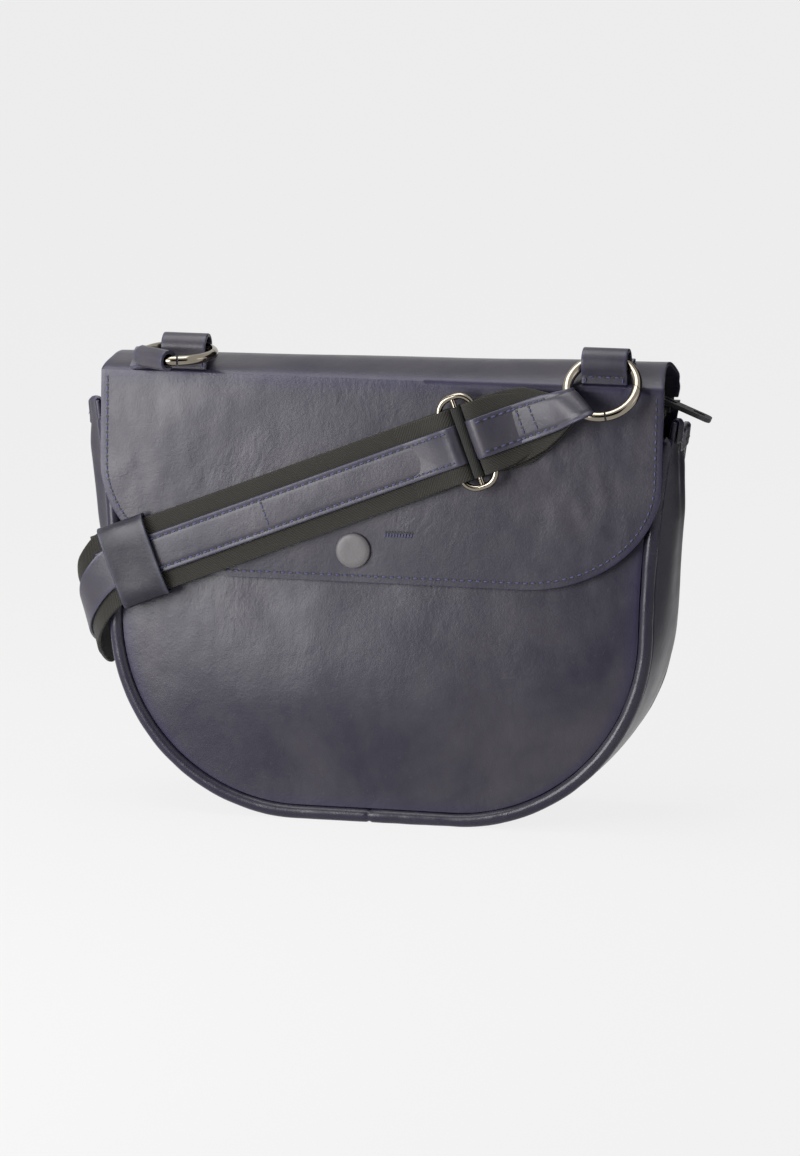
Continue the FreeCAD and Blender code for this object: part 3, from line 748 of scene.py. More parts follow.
def flap_out(x, height):
    """Middle of the flap's leather, measured out from the front plane."""
    rest = max(0.5, -panel_recess + puff(x, min(height, panel_top)) + 0.9) + leather_thickness / 2
    slack = 0.5 + 0.5 * lump(48, x, height, 21)
    ripple = 0.22 * lump(9, x * 1.2, height * 0.7, 13) * smooth(abs(x), 30, 110)
    hold = smooth(height, flap_bottom, flap_bottom + 30) * (1 - smooth(height, 200, 222))
    dimple = -0.5 * math.exp(-((x - snap_x) ** 2 + (height - snap_height) ** 2) / 420)
    return rest + (0.9 * slack + ripple) * (0.25 + 0.75 * hold) + dimple


# %% Points of the flap
back_rows, arch_rows, front_rows = 5, 30, 66
arch_tilt = 2.4
flap_rows = back_rows + arch_rows + front_rows


def flap_point(side, row):
    if row < back_rows:
        x = side * (flap_half_width - 2 * (1 - row / back_rows))
        return (x, back_y - leather_thickness / 2,
                hinge_height + (shoulder_height - hinge_height) * row / back_rows)
    if row <= back_rows + arch_rows:
        share = (row - back_rows) / arch_rows
        turn = arch_start + (arch_end - arch_start) * share
        x = side * (flap_half_width - 2.5 * math.sin(math.pi * share))
        rise = math.sin(math.pi * share) ** 1.5
        tilt = arch_tilt * x / flap_half_width
        waver = tilt + 0.5 * lump(46, x, share * 60, 31) - smooth(share, 0.55, 0.85) * (share < 0.98)
        radius = arch_radius - leather_thickness / 2
        return (x, arch_centre.x + radius * math.cos(turn),
                arch_centre.y + radius * math.sin(turn) + rise * waver)
    share = (row - back_rows - arch_rows) / front_rows
    height = crease_height - 1.0 - (crease_height - 1.0 - flap_bottom) * (1 - (1 - share) ** 1.35)
    return on_front(side * flap_width(height), height, flap_out(side * flap_width(height), height))


shoulder_round = 6.0


def flap_place(u, v):
    """The rows near the shoulder are averaged with their neighbours, which rounds the bend there."""
    row = v * flap_rows
    reach = shoulder_round - abs(row - back_rows)
    if reach <= 0:
        return flap_point(2 * u - 1, row)
    near = [Vector(flap_point(2 * u - 1, max(row + reach * step / 4, 0.0))) for step in range(-4, 5)]
    return sum(near, Vector()) / len(near)


# %% Flap sheet
def flap_fold(u, v):
    row = v * flap_rows
    from_crease = abs(row - back_rows - arch_rows)
    edge = max(smooth(abs(2 * u - 1), 0.965, 1.0), smooth(v, 0.985, 1.0))
    return max(0.8 - 0.8 * smooth(from_crease, 0, 4), 0.85 * edge)


flap = sheet("leather_flap", 150, flap_rows, flap_place, flap_fold)
thicken(flap, leather_thickness, 0.6)
settle(flap, leather, "leather", "flap", ["flap_front", "top_yoke"])

# %% [markdown]
# ### Hinge
# The flap has no metal hinge: its hide bends where it is sewn to the back. A thin strip inside both
# sheets bridges the seam. The strip stops short of the flap's two ends, and a small notch of light stays there.

# %% Hinge strip
strip_reach = 7.0


def hinge_place(u, v):
    return ((2 * u - 1) * (flap_half_width - 4), back_y - leather_thickness / 2,
            hinge_height + strip_reach * (2 * v - 1))


hinge = sheet("leather_hinge", 60, 28, hinge_place)
thicken(hinge, 1.2, 0.2)
settle(hinge, leather, "leather")
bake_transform(hinge)


# %% Places on the flap
def flap_face(x, height, lift=0.0):
    return on_front(x, height, flap_out(x, height) + leather_thickness / 2 + lift)


def yoke_top(x, y):
    """Height of the arch's upper face."""
    turn = math.acos(max(min((y - arch_centre.x) / arch_radius, 1), -1))
    share = (turn - arch_start) / (arch_end - arch_start)
    rise = math.sin(math.pi * min(max(share, 0), 1)) ** 1.5
    return arch_centre.y + arch_radius * math.sin(turn) + rise * arch_tilt * x / flap_half_width


# %% [markdown]
# ### Snap button
# The button is covered in the same leather: a shallow dome, nearly flat on top, whose edge rolls under.
# A squashed sphere would be too round on top, so a sheet is wound about the button's middle.

# %% Snap button
dome_share = 0.8


def snap_place(u, v):
    turn = 2 * math.pi * u
    roll = min(v / dome_share, 1.0)
    under = (v - dome_share) / (1 - dome_share)
    reach = snap_radius * (math.sin(math.pi / 2 * roll) if v < dome_share else 1 - 0.12 * under)
    rise = snap_dome * (1 - roll ** 5 * 0.75) if v < dome_share else snap_dome * 0.25 * (1 - under) - 0.4 * under
    base = flap_out(snap_x, snap_height) + leather_thickness / 2
    return on_front(snap_x + reach * math.cos(turn), snap_height + reach * math.sin(turn), base + rise - 0.2)


button = sheet("covered_button", 40, 16, snap_place, lambda u, v: smooth(v, 0.6, 0.85))
close_seams(button)
# The button wears the lighter copy of the leather, painted sheen on its dome.
settle(button, button_leather_painted_sheen, "leather", "flap", ["snap_button"])

# %% [markdown]
# ## The strap
# The strap is a wide webbing with a narrower strip of leather sewn on it. It crosses the front of the
# flap at a slant. A curve with an extruded profile could make it, but its twist is hard to steer. So a
# ribbon is a sheet laid along a smooth line of stations, where each station gives the middle of the
# ribbon and the direction of its width, and it can twist on its way round a ring.

# %% Strap ribbons
strap_slope = math.radians(21.4)
strap_line_height = 177.0
webbing_half = 19.0
overlay_half = 10.0
webbing_middle = 7.5
overlay_middle = 9.6


def on_strap(along, across, out):
    return on_front(along * math.cos(strap_slope) - across * math.sin(strap_slope),
                    strap_line_height + along * math.sin(strap_slope) + across * math.cos(strap_slope), out)


strap_across = (on_strap(0, 1, 0) - on_strap(0, 0, 0)).normalized()
stitch_share = 0.76


# %% Ribbon helpers
def through(values, share):
    """A smooth line through a list of vectors, from its first to its last."""
    span = share * (len(values) - 1)
    index = min(int(span), len(values) - 2)
    part = span - index
    before = values[max(index - 1, 0)]
    first, second = values[index], values[index + 1]
    after = values[min(index + 2, len(values) - 1)]
    return (first * 2 + (second - before) * part + (before * 2 - first * 5 + second * 4 - after) * part ** 2 +
            (first * 3 - before - second * 3 + after) * part ** 3) * 0.5


def ribbon_walks(stations):
    middles = [Vector(middle) for middle, _ in stations]
    widths = [Vector(width) for _, width in stations]
    fine = 40 * (len(stations) - 1)
    walk = walker([through(middles, step / fine) for step in range(fine + 1)])
    spans = [0.0]
    for first, second in zip(middles, middles[1:]):
        spans.append(spans[-1] + (second - first).length)

    def width_at(share):
        goal = share * spans[-1]
        index = max(i for i in range(len(spans) - 1) if spans[i] <= goal + 1e-9)
        part = (goal - spans[index]) / max(spans[index + 1] - spans[index], 1e-9)
        return widths[index].lerp(widths[index + 1], part)
    return walk, width_at


def ribbon(name, stations, columns, thickness, crown=0.0, waver=0.0, edge=0.4, groove=0.0):
    walk, width_at = ribbon_walks(stations)

    def place(u, v):
        middle, run = walk(v)
        width = width_at(v)
        up = run.cross(width).normalized()
        side = 2 * u - 1
        lift = crown * (1 - side * side) + waver * lump(16, v * walk.length, side * 9, len(name))
        lift -= groove * math.exp(-((abs(side) - stitch_share) / 0.09) ** 2)
        return middle + width * side + up * lift

    rows = max(int(walk.length / 2.2), 8)
    width = 2 * width_at(0.5).length
    piece = sheet(name, columns, rows, place, lambda u, v: 0.8 * smooth(abs(2 * u - 1), 0.72, 1.0),
                  (width, walk.length))
    thicken(piece, thickness, edge)
    print(name, "is", round(walk.length, 1), "mm long and", round(width, 1), "mm wide")
    return piece, walk, width_at


def strap_station(along, out, half, across=0.0):
    return on_strap(along, across, out), strap_across * half


print("strap rises by", round(math.degrees(strap_slope), 1), "degrees")


# %% Front run
web_front_line = [strap_station(along, webbing_middle, webbing_half) for along in (-151, -90, -30, 30, 66)]
web_front, _, _ = ribbon("webbing_front", web_front_line, 24, 1.9, 0.0, 0.25)
settle(web_front, webbing, "webbing", "flap", ["strap_webbing"])
overlay_left_line = [strap_station(along, overlay_middle, overlay_half)
                     for along in (-151, -100, -40, 10, 34, 44)]
overlay_left_line += [strap_station(48.6, 9.2, overlay_half)]
over_left, _, _ = ribbon("leather_overlay_left", overlay_left_line, 32, 1.8, 0.35, 0.12, 0.5, 0.3)
settle(over_left, strap_leather, "strap_leather", "flap", ["strap_overlay_left"])

# %% [markdown]
# ### The right end
# The leather leaves the webbing, twists a little to lie across the ring's wire, goes round it and comes
# back underneath. The webbing narrows behind it. When the ring swings, a stiff end would tear away from
# it.

# %% Right end
ring_wire_right = Vector((-0.668, 0.507, 0.543))
right_bend = ("flap", "ring_right", on_strap(80, 0, 10) * MM, on_strap(103, 0, 14) * MM)


def end_station(along, out, half, twist):
    width = strap_across.lerp(ring_wire_right, twist).normalized()
    return on_strap(along, 0, out), width * half


loop_right_line = [end_station(53.5, 9.2, overlay_half, 0), end_station(58, overlay_middle, overlay_half, 0),
                   end_station(70, overlay_middle + 0.2, overlay_half, 0),
                   end_station(84, 11.0, overlay_half, 0.05),
                   end_station(96, 14.6, overlay_half, 0.4), end_station(104, 17.6, 9.8, 0.75),
                   end_station(109.6, 18.1, 9.8, 0.9), end_station(113.2, 16.3, 9.8, 1),
                   end_station(113.4, 13, 9.8, 1), end_station(110, 10.4, 9.8, 0.95),
                   end_station(103, 9.0, 9.8, 0.7), end_station(92, 6.6, 9.8, 0.3)]
loop_right, loop_right_walk, loop_right_width = ribbon("leather_loop_right", loop_right_line, 32, 1.7, 0.3,
                                                       0.1, 0.5, 0.3)
settle(loop_right, strap_leather, "strap_leather", None, ["strap_overlay_right", "strap_end_right"])
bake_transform(loop_right)
web_right_line = [end_station(64, webbing_middle, webbing_half, 0), end_station(76, webbing_middle, 18.4, 0),
                  end_station(86, 8.5, 16.6, 0.08), end_station(95, 11.2, 13.0, 0.4),
                  end_station(103, 14.4, 9.2, 0.75)]
web_right, _, _ = ribbon("webbing_right", web_right_line, 24, 1.9, 0.0, 0.2)
settle(web_right, webbing, "webbing", None)
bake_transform(web_right)
return_line = [strap_station(62, 5.0, 18.6, -1.5), strap_station(76, 4.9, 18.0, -2.5),
               strap_station(88, 5.2, 14.5, -2.5), strap_station(97, 6.4, 11.0, -2.0),
               strap_station(104, 7.2, 8.4, -1.0)]
web_return, _, _ = ribbon("webbing_return", return_line, 24, 1.7, 0.0, 0.2)
settle(web_return, webbing, "webbing", "flap", ["strap_return"])

# %% [markdown]
# ### Folds at the slide
# At the wire slide the strap humps up on both sides of the centre bar and dives down beside it. One long
# ribbon could hold both humps, but they travel with the slide when it is moved along the strap, so they
# are pieces of their own that sink into the strap at their ends.

# %% Humps
slide_place = 51.0
hump_lines = {}
for side, name in ((-1, "left"), (1, "right")):
    def hump_line(lift, half, taper, side=side):
        shape = ((3.0, 7.5), (3.3, 11.5), (5.4, 14.4), (9.0, 14.4), (14.0, 12.3), (20.0, 10.1), (27.0, 8.75),
                 (34.0, 8.1), (40.0, 7.3))
        return [strap_station(slide_place + side * away, out + lift,
                              half - taper * max(away - 18, 0) * (side > 0)) for away, out in shape]

    hump, *hump_lines[name] = ribbon("leather_hump_" + name, hump_line(1.4, overlay_half, 0), 16, 1.6, 0.2, 0.1)
    settle(hump, strap_leather, "strap_leather", "buckle")
    web_hump, _, _ = ribbon("webbing_hump_" + name, hump_line(-0.5, webbing_half - 0.6, 0.28), 24, 1.6, 0.0, 0.15)
    settle(web_hump, webbing, "webbing", "buckle")

# %% [markdown]
# ### Slide
# The slide is a loop of round wire with long rounded corners and a bar across its middle. Its CAD solid
# is a squarer, smaller frame. A curve with a round bevel could make the wire, but here a sheet is rolled
# up along a rounded oblong, with the same helper that the welts use.

# %% Slide
slide_out, slide_half, slide_reach, slide_corner = 11.8, 9.0, 23.4, 7.5
wire_radius, bar_radius = 1.6, 1.3
slide_points = [Vector((slide_half, 0))]
for quarter, (along, across) in enumerate(((1, 1), (-1, 1), (-1, -1), (1, -1))):
    for step in range(11):
        turn = math.pi / 2 * (quarter + step / 10)
        slide_points.append(Vector((along * (slide_half - slide_corner) + slide_corner * math.cos(turn),
                                    across * (slide_reach - slide_corner) + slide_corner * math.sin(turn))))
slide_walk = walker(slide_points + [Vector((slide_half, 0))])


def wire_place(u, v):
    point, run = slide_walk(u)
    turn = 2 * math.pi * v
    flat = point + Vector((run.y, -run.x)) * (wire_radius * math.cos(turn))
    return on_strap(slide_place + flat.x, flat.y, slide_out + wire_radius * math.sin(turn))


def bar_place(u, v):
    turn = 2 * math.pi * v
    return on_strap(slide_place + bar_radius * math.cos(turn), (2 * u - 1) * slide_reach,
                    slide_out + bar_radius * math.sin(turn))


wire = join_pieces([sheet("wire_slide", 140, 14, wire_place), sheet("slide_bar", 30, 14, bar_place)])
close_seams(wire)
settle(wire, gunmetal, "gunmetal", "buckle", ["buckle"])

# %% Webbing round the bar
wrap_radius, wrap_reach, wrap_out = 2.5, 18.3, 12.5


def bar_wrap_place(u, v):
    turn = 2 * math.pi * v
    return on_strap(slide_place + wrap_radius * math.cos(turn), (2 * u - 1) * wrap_reach,
                    wrap_out + wrap_radius * math.sin(turn))


bar_wrap = sheet("webbing_bar_wrap", 40, 20, bar_wrap_place, None, (36, 16))
close_seams(bar_wrap)
# The wrap round the bar wears the near-black webbing: painted shade in the gap between the humps.
settle(bar_wrap, bar_webbing_painted_shade, "webbing", "buckle")

# %% [markdown]
# ### Keeper
# The keeper is a short sleeve of leather that holds the strap's layers together. A hollowed box would
# have hard corners, so it is a sheet bent round an oblong, a little slack. It slides with its own joint.

# %% Keeper
keeper_middle, keeper_length = -133.0, 25.0
keeper_half, keeper_out, keeper_front, keeper_back = 20.6, 8.5, 4.6, 3.7


def keeper_place(u, v):
    turn = 2 * math.pi * v
    across = keeper_half * math.copysign(abs(math.cos(turn)) ** 0.45, math.cos(turn))
    reach = keeper_front if math.sin(turn) > 0 else keeper_back
    out = keeper_out + reach * math.copysign(abs(math.sin(turn)) ** 0.6, math.sin(turn))
    out += 0.5 * math.sin(turn) * lump(10, u * 25, across, 5)
    flare_out = 0.5 * (2 * u - 1) ** 4
    return on_strap(keeper_middle + keeper_length * (u - 0.5), across * (1 + 0.02 * flare_out),
                    out + flare_out * (out > keeper_out))


sleeve = sheet("leather_keeper", 22, 96, keeper_place, lambda u, v: smooth(abs(2 * u - 1), 0.75, 1.0))
close_seams(sleeve)
thicken(sleeve, 1.6, 0.5)
settle(sleeve, keeper_leather, "strap_leather", "keeper", ["keeper"])

# %% [markdown]
# ### Round the left side and up the back
# From the keeper the strap sags round the left side of the bag, runs along the back, folds, and climbs
# to the shoulder. There a leather tail goes forward over the top to the left ring. One ribbon for all of
# it couldn't follow both the bag and the flap, so it is cut into runs.

# %% Wrap
wrap_middles = [on_strap(-138, 0, 8.6), on_strap(-148, 0, 8.4)]
wrap_middles += [Vector(point) for point in (
    (-147.0, -37, 111.5), (-151.4, -26, 99.5), (-152.2, -9, 89.5), (-151, 9, 84.5), (-149.4, 24, 89),
    (-145.5, 35.5, 102), (-139.5, 39.6, 116.5), (-132, 39.6, 120.4))]
wrap_widths = [strap_across, strap_across]
wrap_widths += [Vector(width) for width in (
    (-0.3, -0.14, 0.94), (-0.14, -0.36, 0.92), (0, -0.38, 0.92), (0, -0.05, 1), (0, 0.25, 0.96),
    (-0.08, 0.2, 0.97), (-0.1, 0, 1), (0, 0, 1))]
wrap_line = [(middle, width.normalized() * webbing_half) for middle, width in zip(wrap_middles, wrap_widths)]
wrap_web, _, _ = ribbon("webbing_wrap", wrap_line, 24, 1.9, 0.0, 0.3)
settle(wrap_web, webbing, "webbing", None, ["strap_wrap"])
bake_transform(wrap_web)


# %% Leather on the wrap
def outset(middles, widths, distance):
    """The line of the narrower leather that is sewn on the webbing."""
    placed = []
    for index, (middle, width) in enumerate(zip(middles, widths)):
        run = (middles[min(index + 1, len(middles) - 1)] - middles[max(index - 1, 0)]).normalized()
        up = run.cross(width).normalized()
        placed.append((middle + up * distance, width.normalized() * overlay_half))
    return placed


wrap_over, _, _ = ribbon("leather_wrap", outset(wrap_middles, wrap_widths, -2.0), 14, 1.7, 0.0, 0.1)
settle(wrap_over, strap_leather, "strap_leather", None)
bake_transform(wrap_over)

# %% Back run, fold and rise
upright = Vector((0, 0, 1))
run_height = 120.4
run_points = [(x, 39.0 + 0.2 * math.sin(x), run_height) for x in (-134, -110, -85, -66)]
run_points += [(-59.0, 40.0, run_height), (-57.0, 42.0, 120.6), (-59.0, 43.8, 121.0), (-66, 44.6, 122.0)]
run_line = [(Vector(point), upright * webbing_half) for point in run_points]
back_run, _, _ = ribbon("webbing_back_run", run_line, 24, 1.8, 0.0, 0.2)
settle(back_run, webbing, "webbing", "bag", ["strap_back_run", "strap_fold"])
rise_start, rise_end = Vector((-79, 45.2, run_height)), Vector((-133, 45.0, 200))
rise_run = (rise_end - rise_start).normalized()
rise_width = Vector((0, 1, 0)).cross(rise_run).normalized()
rise_line = [(rise_start.lerp(rise_end, share), rise_width * webbing_half)
             for share in (-0.16, 0.1, 0.4, 0.7, 0.98)]
back_rise, _, _ = ribbon("webbing_back_rise", rise_line, 24, 1.8, 0.0, 0.25)
settle(back_rise, webbing, "webbing", "bag", ["strap_back_rise"])
rise_over_line = [(middle + Vector((0, 2.0, 0)), rise_width * overlay_half) for middle, _ in rise_line]
rise_over, _, _ = ribbon("leather_back_rise", rise_over_line, 14, 1.7, 0.0, 0.1)
settle(rise_over, strap_leather, "strap_leather", "bag")
run_over_line = [(Vector((x, 41.2, run_height)), upright * overlay_half) for x in (-134, -115, -98)]
run_over, _, _ = ribbon("leather_back_run", run_over_line, 14, 1.4, 0.0, 0.1)
settle(run_over, strap_leather, "strap_leather", "bag")

# %% Tail over the shoulder to the left ring
tail_half = 9.6
tail_x = -133.0
level = Vector((1, 0, 0))
tail_lie = 1.4


def on_yoke(x, y):
    return Vector((x, y, yoke_top(x, y) + tail_lie))


bend_points = [rise_end + Vector((0, 1.2, 2)), Vector((tail_x + 1, 42.5, 209)), Vector((tail_x + 2.5, 35, 217.5)),
               Vector((tail_x + 4.5, 26.5, 223.0)), on_yoke(tail_x + 6, 18.5), on_yoke(tail_x + 7.5, 11)]
bend_line = [(rise_end + Vector((0, 1.6, -12)), rise_width * tail_half)]
bend_line += [(point, level * tail_half) for point in bend_points]
tail_bend, _, _ = ribbon("leather_tail_bend", bend_line, 14, 1.8, 0.0, 0.1)
settle(tail_bend, strap_leather, "strap_leather", None, ["strap_tail_bend"])
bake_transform(tail_bend)
ring_wire_left = Vector((0.866, -0.499, -0.035))
wire_left = Vector((-109.0, -50.1, 234.0))
away_left = Vector((-0.5, -0.864, -0.06))
lift_left = ring_wire_left.cross(away_left)
lift_left = lift_left if lift_left.z > 0 else -lift_left


def round_left(turn, reach):
    return wire_left + away_left * (reach * math.cos(turn)) + lift_left * (reach * math.sin(turn))


tail_line = [(on_yoke(tail_x + 7, 14), level * tail_half),
             (on_yoke(tail_x + 9, 2), Vector((0.99, 0.1, 0)) * tail_half),
             (on_yoke(-121.5, -11), Vector((0.98, 0.16, 0)) * tail_half),
             (Vector((-119, -24, 227.4)), Vector((0.96, 0.26, 0)) * tail_half),
             (Vector((-116, -37, 227.8)),
              (ring_wire_left * -0.6 + Vector((1.4, 0.2, 0))).normalized() * tail_half)]
tail_line += [(round_left(math.radians(degrees), reach), ring_wire_left * tail_half) for degrees, reach in (
    (-110, 4.6), (-55, 4.7), (0, 4.9), (55, 4.9), (110, 4.7), (160, 4.4), (200, 5.6))]
tail, _, _ = ribbon("leather_tail", tail_line, 14, 1.7, 0.0, 0.08)
settle(tail, strap_leather, "strap_leather", None, ["strap_tail", "strap_end_left"])
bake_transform(tail)

# %% [markdown]
# ## Tabs
# Each ring hangs in a short leather tab. It is sewn to the flap behind the ring's wire, goes over the wire
# and comes down in front of it to a stitched foot. It is one more ribbon, because a bent box would be too
# stiff at the bend.

# %% Tabs
tab_y, tab_height, tab_half = -21.0, 236.0, 11.5
tab_places = {"left": -101.0, "right": 114.0}
tab_reach = 6.4
foot_low, foot_high = Vector((0, -25.9, 225.4)), Vector((0, -24.7, 229.4))

for name, tab_x in tab_places.items():
    wide = Vector((tab_half, 0, 0))
    line = [(tab_x, foot_low.y, foot_low.z), (tab_x, foot_high.y, foot_high.z)]
    for degrees in (212, 180, 150, 120, 90, 50, 10, -20):
        turn = math.radians(degrees)
        line.append((tab_x, tab_y + tab_reach * math.cos(turn), tab_height - 0.3 + tab_reach * math.sin(turn)))
    line += [(tab_x, -11.0, yoke_top(tab_x, -11.0) + 1.6), (tab_x, -4.5, yoke_top(tab_x, -4.5) + 1.2)]
    tab, _, _ = ribbon("leather_tab_" + name, [(point, wide) for point in line], 16, 1.9, 0.0, 0.1)
    # The tabs wear the lighter strap leather, which paints in the light that falls on them from above.
    settle(tab, strap_leather, "leather", "flap", ["tab_" + name])


# %% [markdown]
# ## Thread
# Each stitch is a small sunk capsule of blue thread with a near-black disc at its end, painted shade that
# stands for the needle hole. A bump in the leather's finish could hint at it, but real stitches catch the
# light. One stitch is modelled with few faces and then copied along the lines that the leather itself gives.

# %% One stitch
stitch_pitch = 4.0
bpy.ops.object.select_all(action="DESELECT")
bpy.ops.mesh.primitive_uv_sphere_add(segments=8, ring_count=5, radius=0.5)
stitch = bpy.context.object
for point in stitch.data.vertices:
    point.co = Vector((point.co.z * 2.5, point.co.y * 0.95, point.co.x * 0.85))
stitch.data.materials.append(thread)
stitch.data.materials.append(needle_hole_painted_shade)
# The disc at the stitch's end is painted shade standing for the dark inside of the needle hole.
bpy.ops.mesh.primitive_circle_add(vertices=8, radius=0.7, fill_type="NGON", location=(1.85, 0, 0.08))
hole = bpy.context.object
bpy.ops.object.transform_apply(location=True)
hole.data.materials.append(needle_hole_painted_shade)
stitch = join_pieces([stitch, hole])
bpy.ops.object.shade_smooth()
stitch_mesh = stitch.data
print("one stitch has", len(stitch_mesh.polygons), "faces")


# %% Stitch lines
def sew(name, lines, body=None, pitch=stitch_pitch, size=1.0):
    """Copy the stitch along lines, where each line gives a point and its outward direction by share."""
    made = []
    for line, length in lines:
        count = max(int(length / pitch), 1)
        for index in range(count):
            point, up = line((index + 0.5) / count)
            ahead, _ = line(min((index + 0.9) / count, 1.0))
            behind, _ = line(max((index + 0.1) / count, 0.0))
            run = (ahead - behind).normalized()
            side = up.cross(run).normalized()
            up = run.cross(side)
            turn = Matrix((run, side, up)).transposed().to_4x4()
            mesh = stitch_mesh.copy()
            mesh.transform(Matrix.Translation(point * MM) @ turn @ Matrix.Scale(size * MM, 4))
            copy = bpy.data.objects.new(name, mesh)
            bpy.context.collection.objects.link(copy)
            made.append(copy)
    row = join_pieces(made)
    row.name = row.data.name = name
    if body:
        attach(row, body)
    else:
        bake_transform(row)
    print(name, len(made), "stitches")


def ribbon_line(walk, width_at, side, start, end, out):
    """A stitch line on a ribbon: side from -1 to 1, start and end as shares of its length."""
    def line(share):
        middle, run = walk(start + (end - start) * share)
        width = width_at(start + (end - start) * share)
        up = run.cross(width).normalized() * (1 if out > 0 else -1)
        return middle + width * side + up * abs(out), up
    return line, walk.length * (end - start)


def straight_line(place, start, end, up):
    first, last = place(*start), place(*end)

    def line(share):
        return place(*[a + (b - a) * share for a, b in zip(start, end)]), up
    return line, (last - first).length


# %% Thread on the flap
edge_inset = 3.4
edge_points = []
for step in range(81):
    share = step / 80
    height = crease_height - 4 - (crease_height - 4 - flap_bottom - flap_corner_up) * min(share * 2, 1)
    if share <= 0.5:
        edge_points.append(Vector((flap_half_width - edge_inset, height)))
    else:
        turn = math.pi * (share - 0.5)
        across, up = flap_corner_across - edge_inset, flap_corner_up - edge_inset
        edge_points.append(Vector((flap_half_width - flap_corner_across + across * math.cos(turn),
                                   flap_bottom + flap_corner_up - up * math.sin(turn))))
edge_points += [Vector((-point.x, point.y)) for point in reversed(edge_points)]
flap_walk = walker(edge_points)


def flap_line(share):
    point, _ = flap_walk(share)
    return flap_face(point.x, point.y, 0.15), front_normal


sew("thread_flap", [(flap_line, flap_walk.length)], "flap")
tack = [straight_line(lambda x, height: flap_face(x, height, 0.25), (4.0 + 1.5 * row, 145.2),
                      (4.6 + 1.5 * row, 147.8), front_normal) for row in range(10)]
sew("thread_bar_tack", tack, "flap", pitch=3.0, size=0.9)

# %% Thread on the strap
overlay_top = overlay_middle + 0.98
edges = (-stitch_share, stitch_share)
rows = [straight_line(on_strap, (-146, side * overlay_half, overlay_top + 0.1),
                      (30, side * overlay_half, overlay_top + 0.1), front_normal) for side in edges]
rows.append(straight_line(on_strap, (-60, -6.4, overlay_top + 0.3), (-60, 6.4, overlay_top + 0.3), front_normal))
sew("thread_strap", rows, "flap")
thread_out = 0.95
faces_front = loop_right_walk(0.1)[1].cross(loop_right_width(0.1)).dot(front_normal) >= 0
face = thread_out if faces_front else -thread_out
loop_rows = [ribbon_line(loop_right_walk, loop_right_width, side, 0.17, 0.50, face) for side in edges]
sew("thread_loop_right", loop_rows, None)
for side, name in ((-1, "left"), (1, "right")):
    hump_rows = [ribbon_line(*hump_lines[name], edge, 0.22, 0.7, thread_out * side) for edge in edges]
    sew("thread_hump_" + name, hump_rows, "buckle")

cross_rows = []
for share in (0.30, 0.385):
    middle, run = loop_right_walk(share)
    width = loop_right_width(share)
    up = run.cross(width).normalized() * (1 if face > 0 else -1)

    def cross_line(part, middle=middle, width=width, up=up):
        return middle + width * (1.3 * part - 0.65) + up * 1.25, up
    cross_rows.append((cross_line, 13.0))
sew("thread_loop_cross", cross_rows, None)

# %% Thread on the tabs and hems
for name, tab_x in tab_places.items():
    def foot(x, y, tab_x=tab_x):
        return Vector((tab_x + x, y, yoke_top(tab_x, y) + 2.4))

    foot_rows = [straight_line(foot, (-9.2, y), (9.2, y), upright) for y in (-6.2, -10.4)]

    def front_foot(x, share, tab_x=tab_x):
        return foot_low.lerp(foot_high, share) + Vector((tab_x + x, -1.1, 0.3))

    foot_rows += [straight_line(front_foot, start, end, front_normal) for start, end in (
        ((-8.6, 0.85), (8.6, 0.85)), ((-9.4, 0.0), (-9.4, 0.9)), ((9.4, 0.0), (9.4, 0.9)))]
    sew("thread_tab_" + name, foot_rows, "flap", pitch=3.6)
hem_stitch_out, hem_seam = 1.6, 34.0
for name, side in (("left", -1), ("right", 1)):
    def hem_edge(share, side=side):
        height = gusset_top - 6.0
        y = (2 * share - 1) * (half_depth - 2 * welt_radius - 1.6 - pinch * height)
        lift = gusset_lift(y, height)
        x = half_width(height, 0) + flare_slope * lift + gusset_bulge(share, side, height) + hem_stitch_out
        return Vector((side * x, y, height + lift)), Vector((side, 0, 0))

    sew("thread_hem_" + name, [(hem_edge, hem_seam)], "bag")

# %% [markdown]
# ## CAD nodes that stay
# The rings, gates, zip and snap halves are hard parts whose CAD shape is already right. Modelling them
# again would only add errors, so they just get their finish.

# %% Finishes of the CAD nodes
kept = {gunmetal: ["ring_right", "gate_right", "ring_left", "gate_left", "snap_socket", "snap_base"],
        zip_metal: ["zip_teeth_front", "zip_teeth_back", "zip_stops", "zip_slider"],
        pull_rubber: ["zip_pull"], board: ["base_stiffener"]}
for material, names in kept.items():
    for name in names:
        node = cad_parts[name]
        node.data.materials.clear()
        node.data.materials.append(material)
    print(material.name, "on", ", ".join(names))
bpy.data.objects.remove(stitch)

# %% [markdown]
# ## Floor and light
# A pale floor and a pale world stand in for the studio. More light could bleach a grey floor white, but
# it would bleach the bag too. So floor and world show their pale colour straight to the camera and to
# mirror-like surfaces, and light the bag much less. The floor keeps a share of real shading for the
# shadow. A large soft lamp at the front left, one above and a weak one at the right make the sheen.

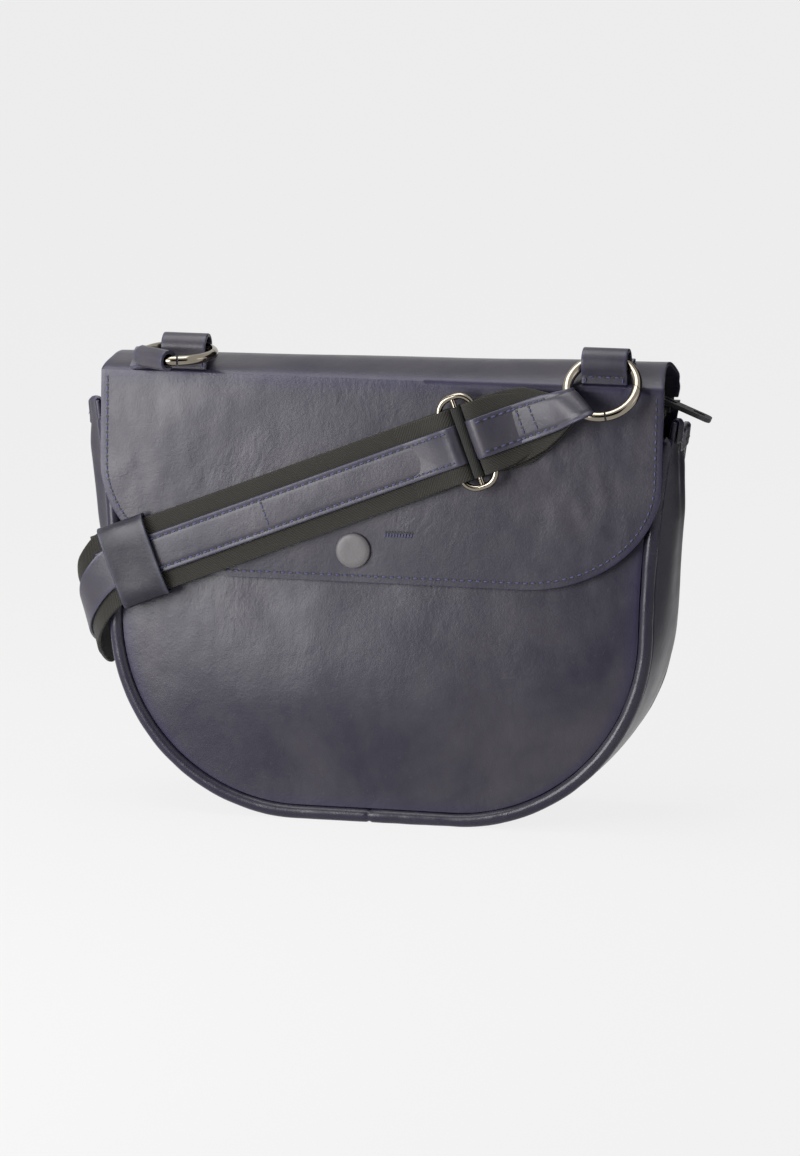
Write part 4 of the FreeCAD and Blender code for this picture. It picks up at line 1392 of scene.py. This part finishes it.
# %% Floor
bpy.ops.object.select_all(action="DESELECT")
bpy.ops.mesh.primitive_plane_add(size=12)
floor = bpy.context.object
floor.name = "floor"
floor_glow, floor_share = 0.89, 0.93
paper = Finish("pale_floor")
paper.set(base_color=(0.86, 0.86, 0.86, 1), roughness=0.9)
glow = paper.node("ShaderNodeEmission", None, {"Color": (floor_glow, floor_glow, floor_glow, 1), "Strength": 1.0})
mixed = paper.node("ShaderNodeMixShader", None, {0: paper.background_rays() * floor_share,
                                                 1: Shade(paper, paper.surface.outputs[0]), 2: glow})
paper.feed(paper.tree.nodes["Material Output"].inputs[0], mixed)
floor.data.materials.append(paper.material)
print("floor glows at", floor_glow)

# %% Light
world_glow, world_light = 0.88, 0.24
world = bpy.data.worlds.new("studio")
bpy.context.scene.world = world
world.use_nodes = True
studio = NodeBoard(world.node_tree)
backdrop = world.node_tree.nodes["Background"]
studio.feed(backdrop.inputs[0], (world_glow, world_glow, world_glow, 1))
strength = studio.node("ShaderNodeMapRange", None,
                       {"Value": studio.background_rays(), "To Min": world_light, "To Max": 1.0})
studio.feed(backdrop.inputs[1], strength)


# %% Lamps
def lamp(name, place, target, size, power):
    bpy.ops.object.light_add(type="AREA", location=place)
    light = bpy.context.object
    light.name = name
    light.rotation_euler = (Vector(place) - Vector(target)).to_track_quat("Z", "Y").to_euler()
    light.data.size = size
    light.data.energy = power
    print(name, "shines with", power, "W")


lamp("key_softbox", (-0.50, -0.74, 0.33), (-0.05, 0, 0.15), 0.55, 11)
lamp("top_softbox", (-0.25, -0.1, 1.3), (0, 0, 0.12), 0.8, 10)
lamp("right_softbox", (1.4, -0.3, 0.6), (0, 0, 0.12), 0.5, 0.8)
bpy.context.scene.view_settings.view_transform = "Standard"

# %% [markdown]
# ### Flags
# In a white room every shiny thing looks pale. A photographer hangs black cloths, called flags, out of
# sight of the camera, so that leather and metal have something dark to mirror. One hangs behind the
# camera and one behind the bag on the right.

# %% Flags
black = Finish("black_flag")
black.set(base_color=(0.012, 0.012, 0.012, 1), roughness=0.95)
flags = (("front_flag", (0.6, -3.7, 1.0), (0, 0, 0.3), 4.2),
         ("right_flag", (0.45, 0.40, 0.32), (0.1, 0, 0.2), 0.75))
for name, place, target, size in flags:
    bpy.ops.object.select_all(action="DESELECT")
    facing = (Vector(place) - Vector(target)).to_track_quat("Z", "Y").to_euler()
    bpy.ops.mesh.primitive_plane_add(size=size, location=place, rotation=facing)
    flag = bpy.context.object
    flag.name = name
    bpy.ops.object.transform_apply(location=True, rotation=True, scale=True)
    flag.data.materials.append(black.material)
    flag.visible_camera = False
    flag.visible_shadow = False
    print(name, "hangs at", place)
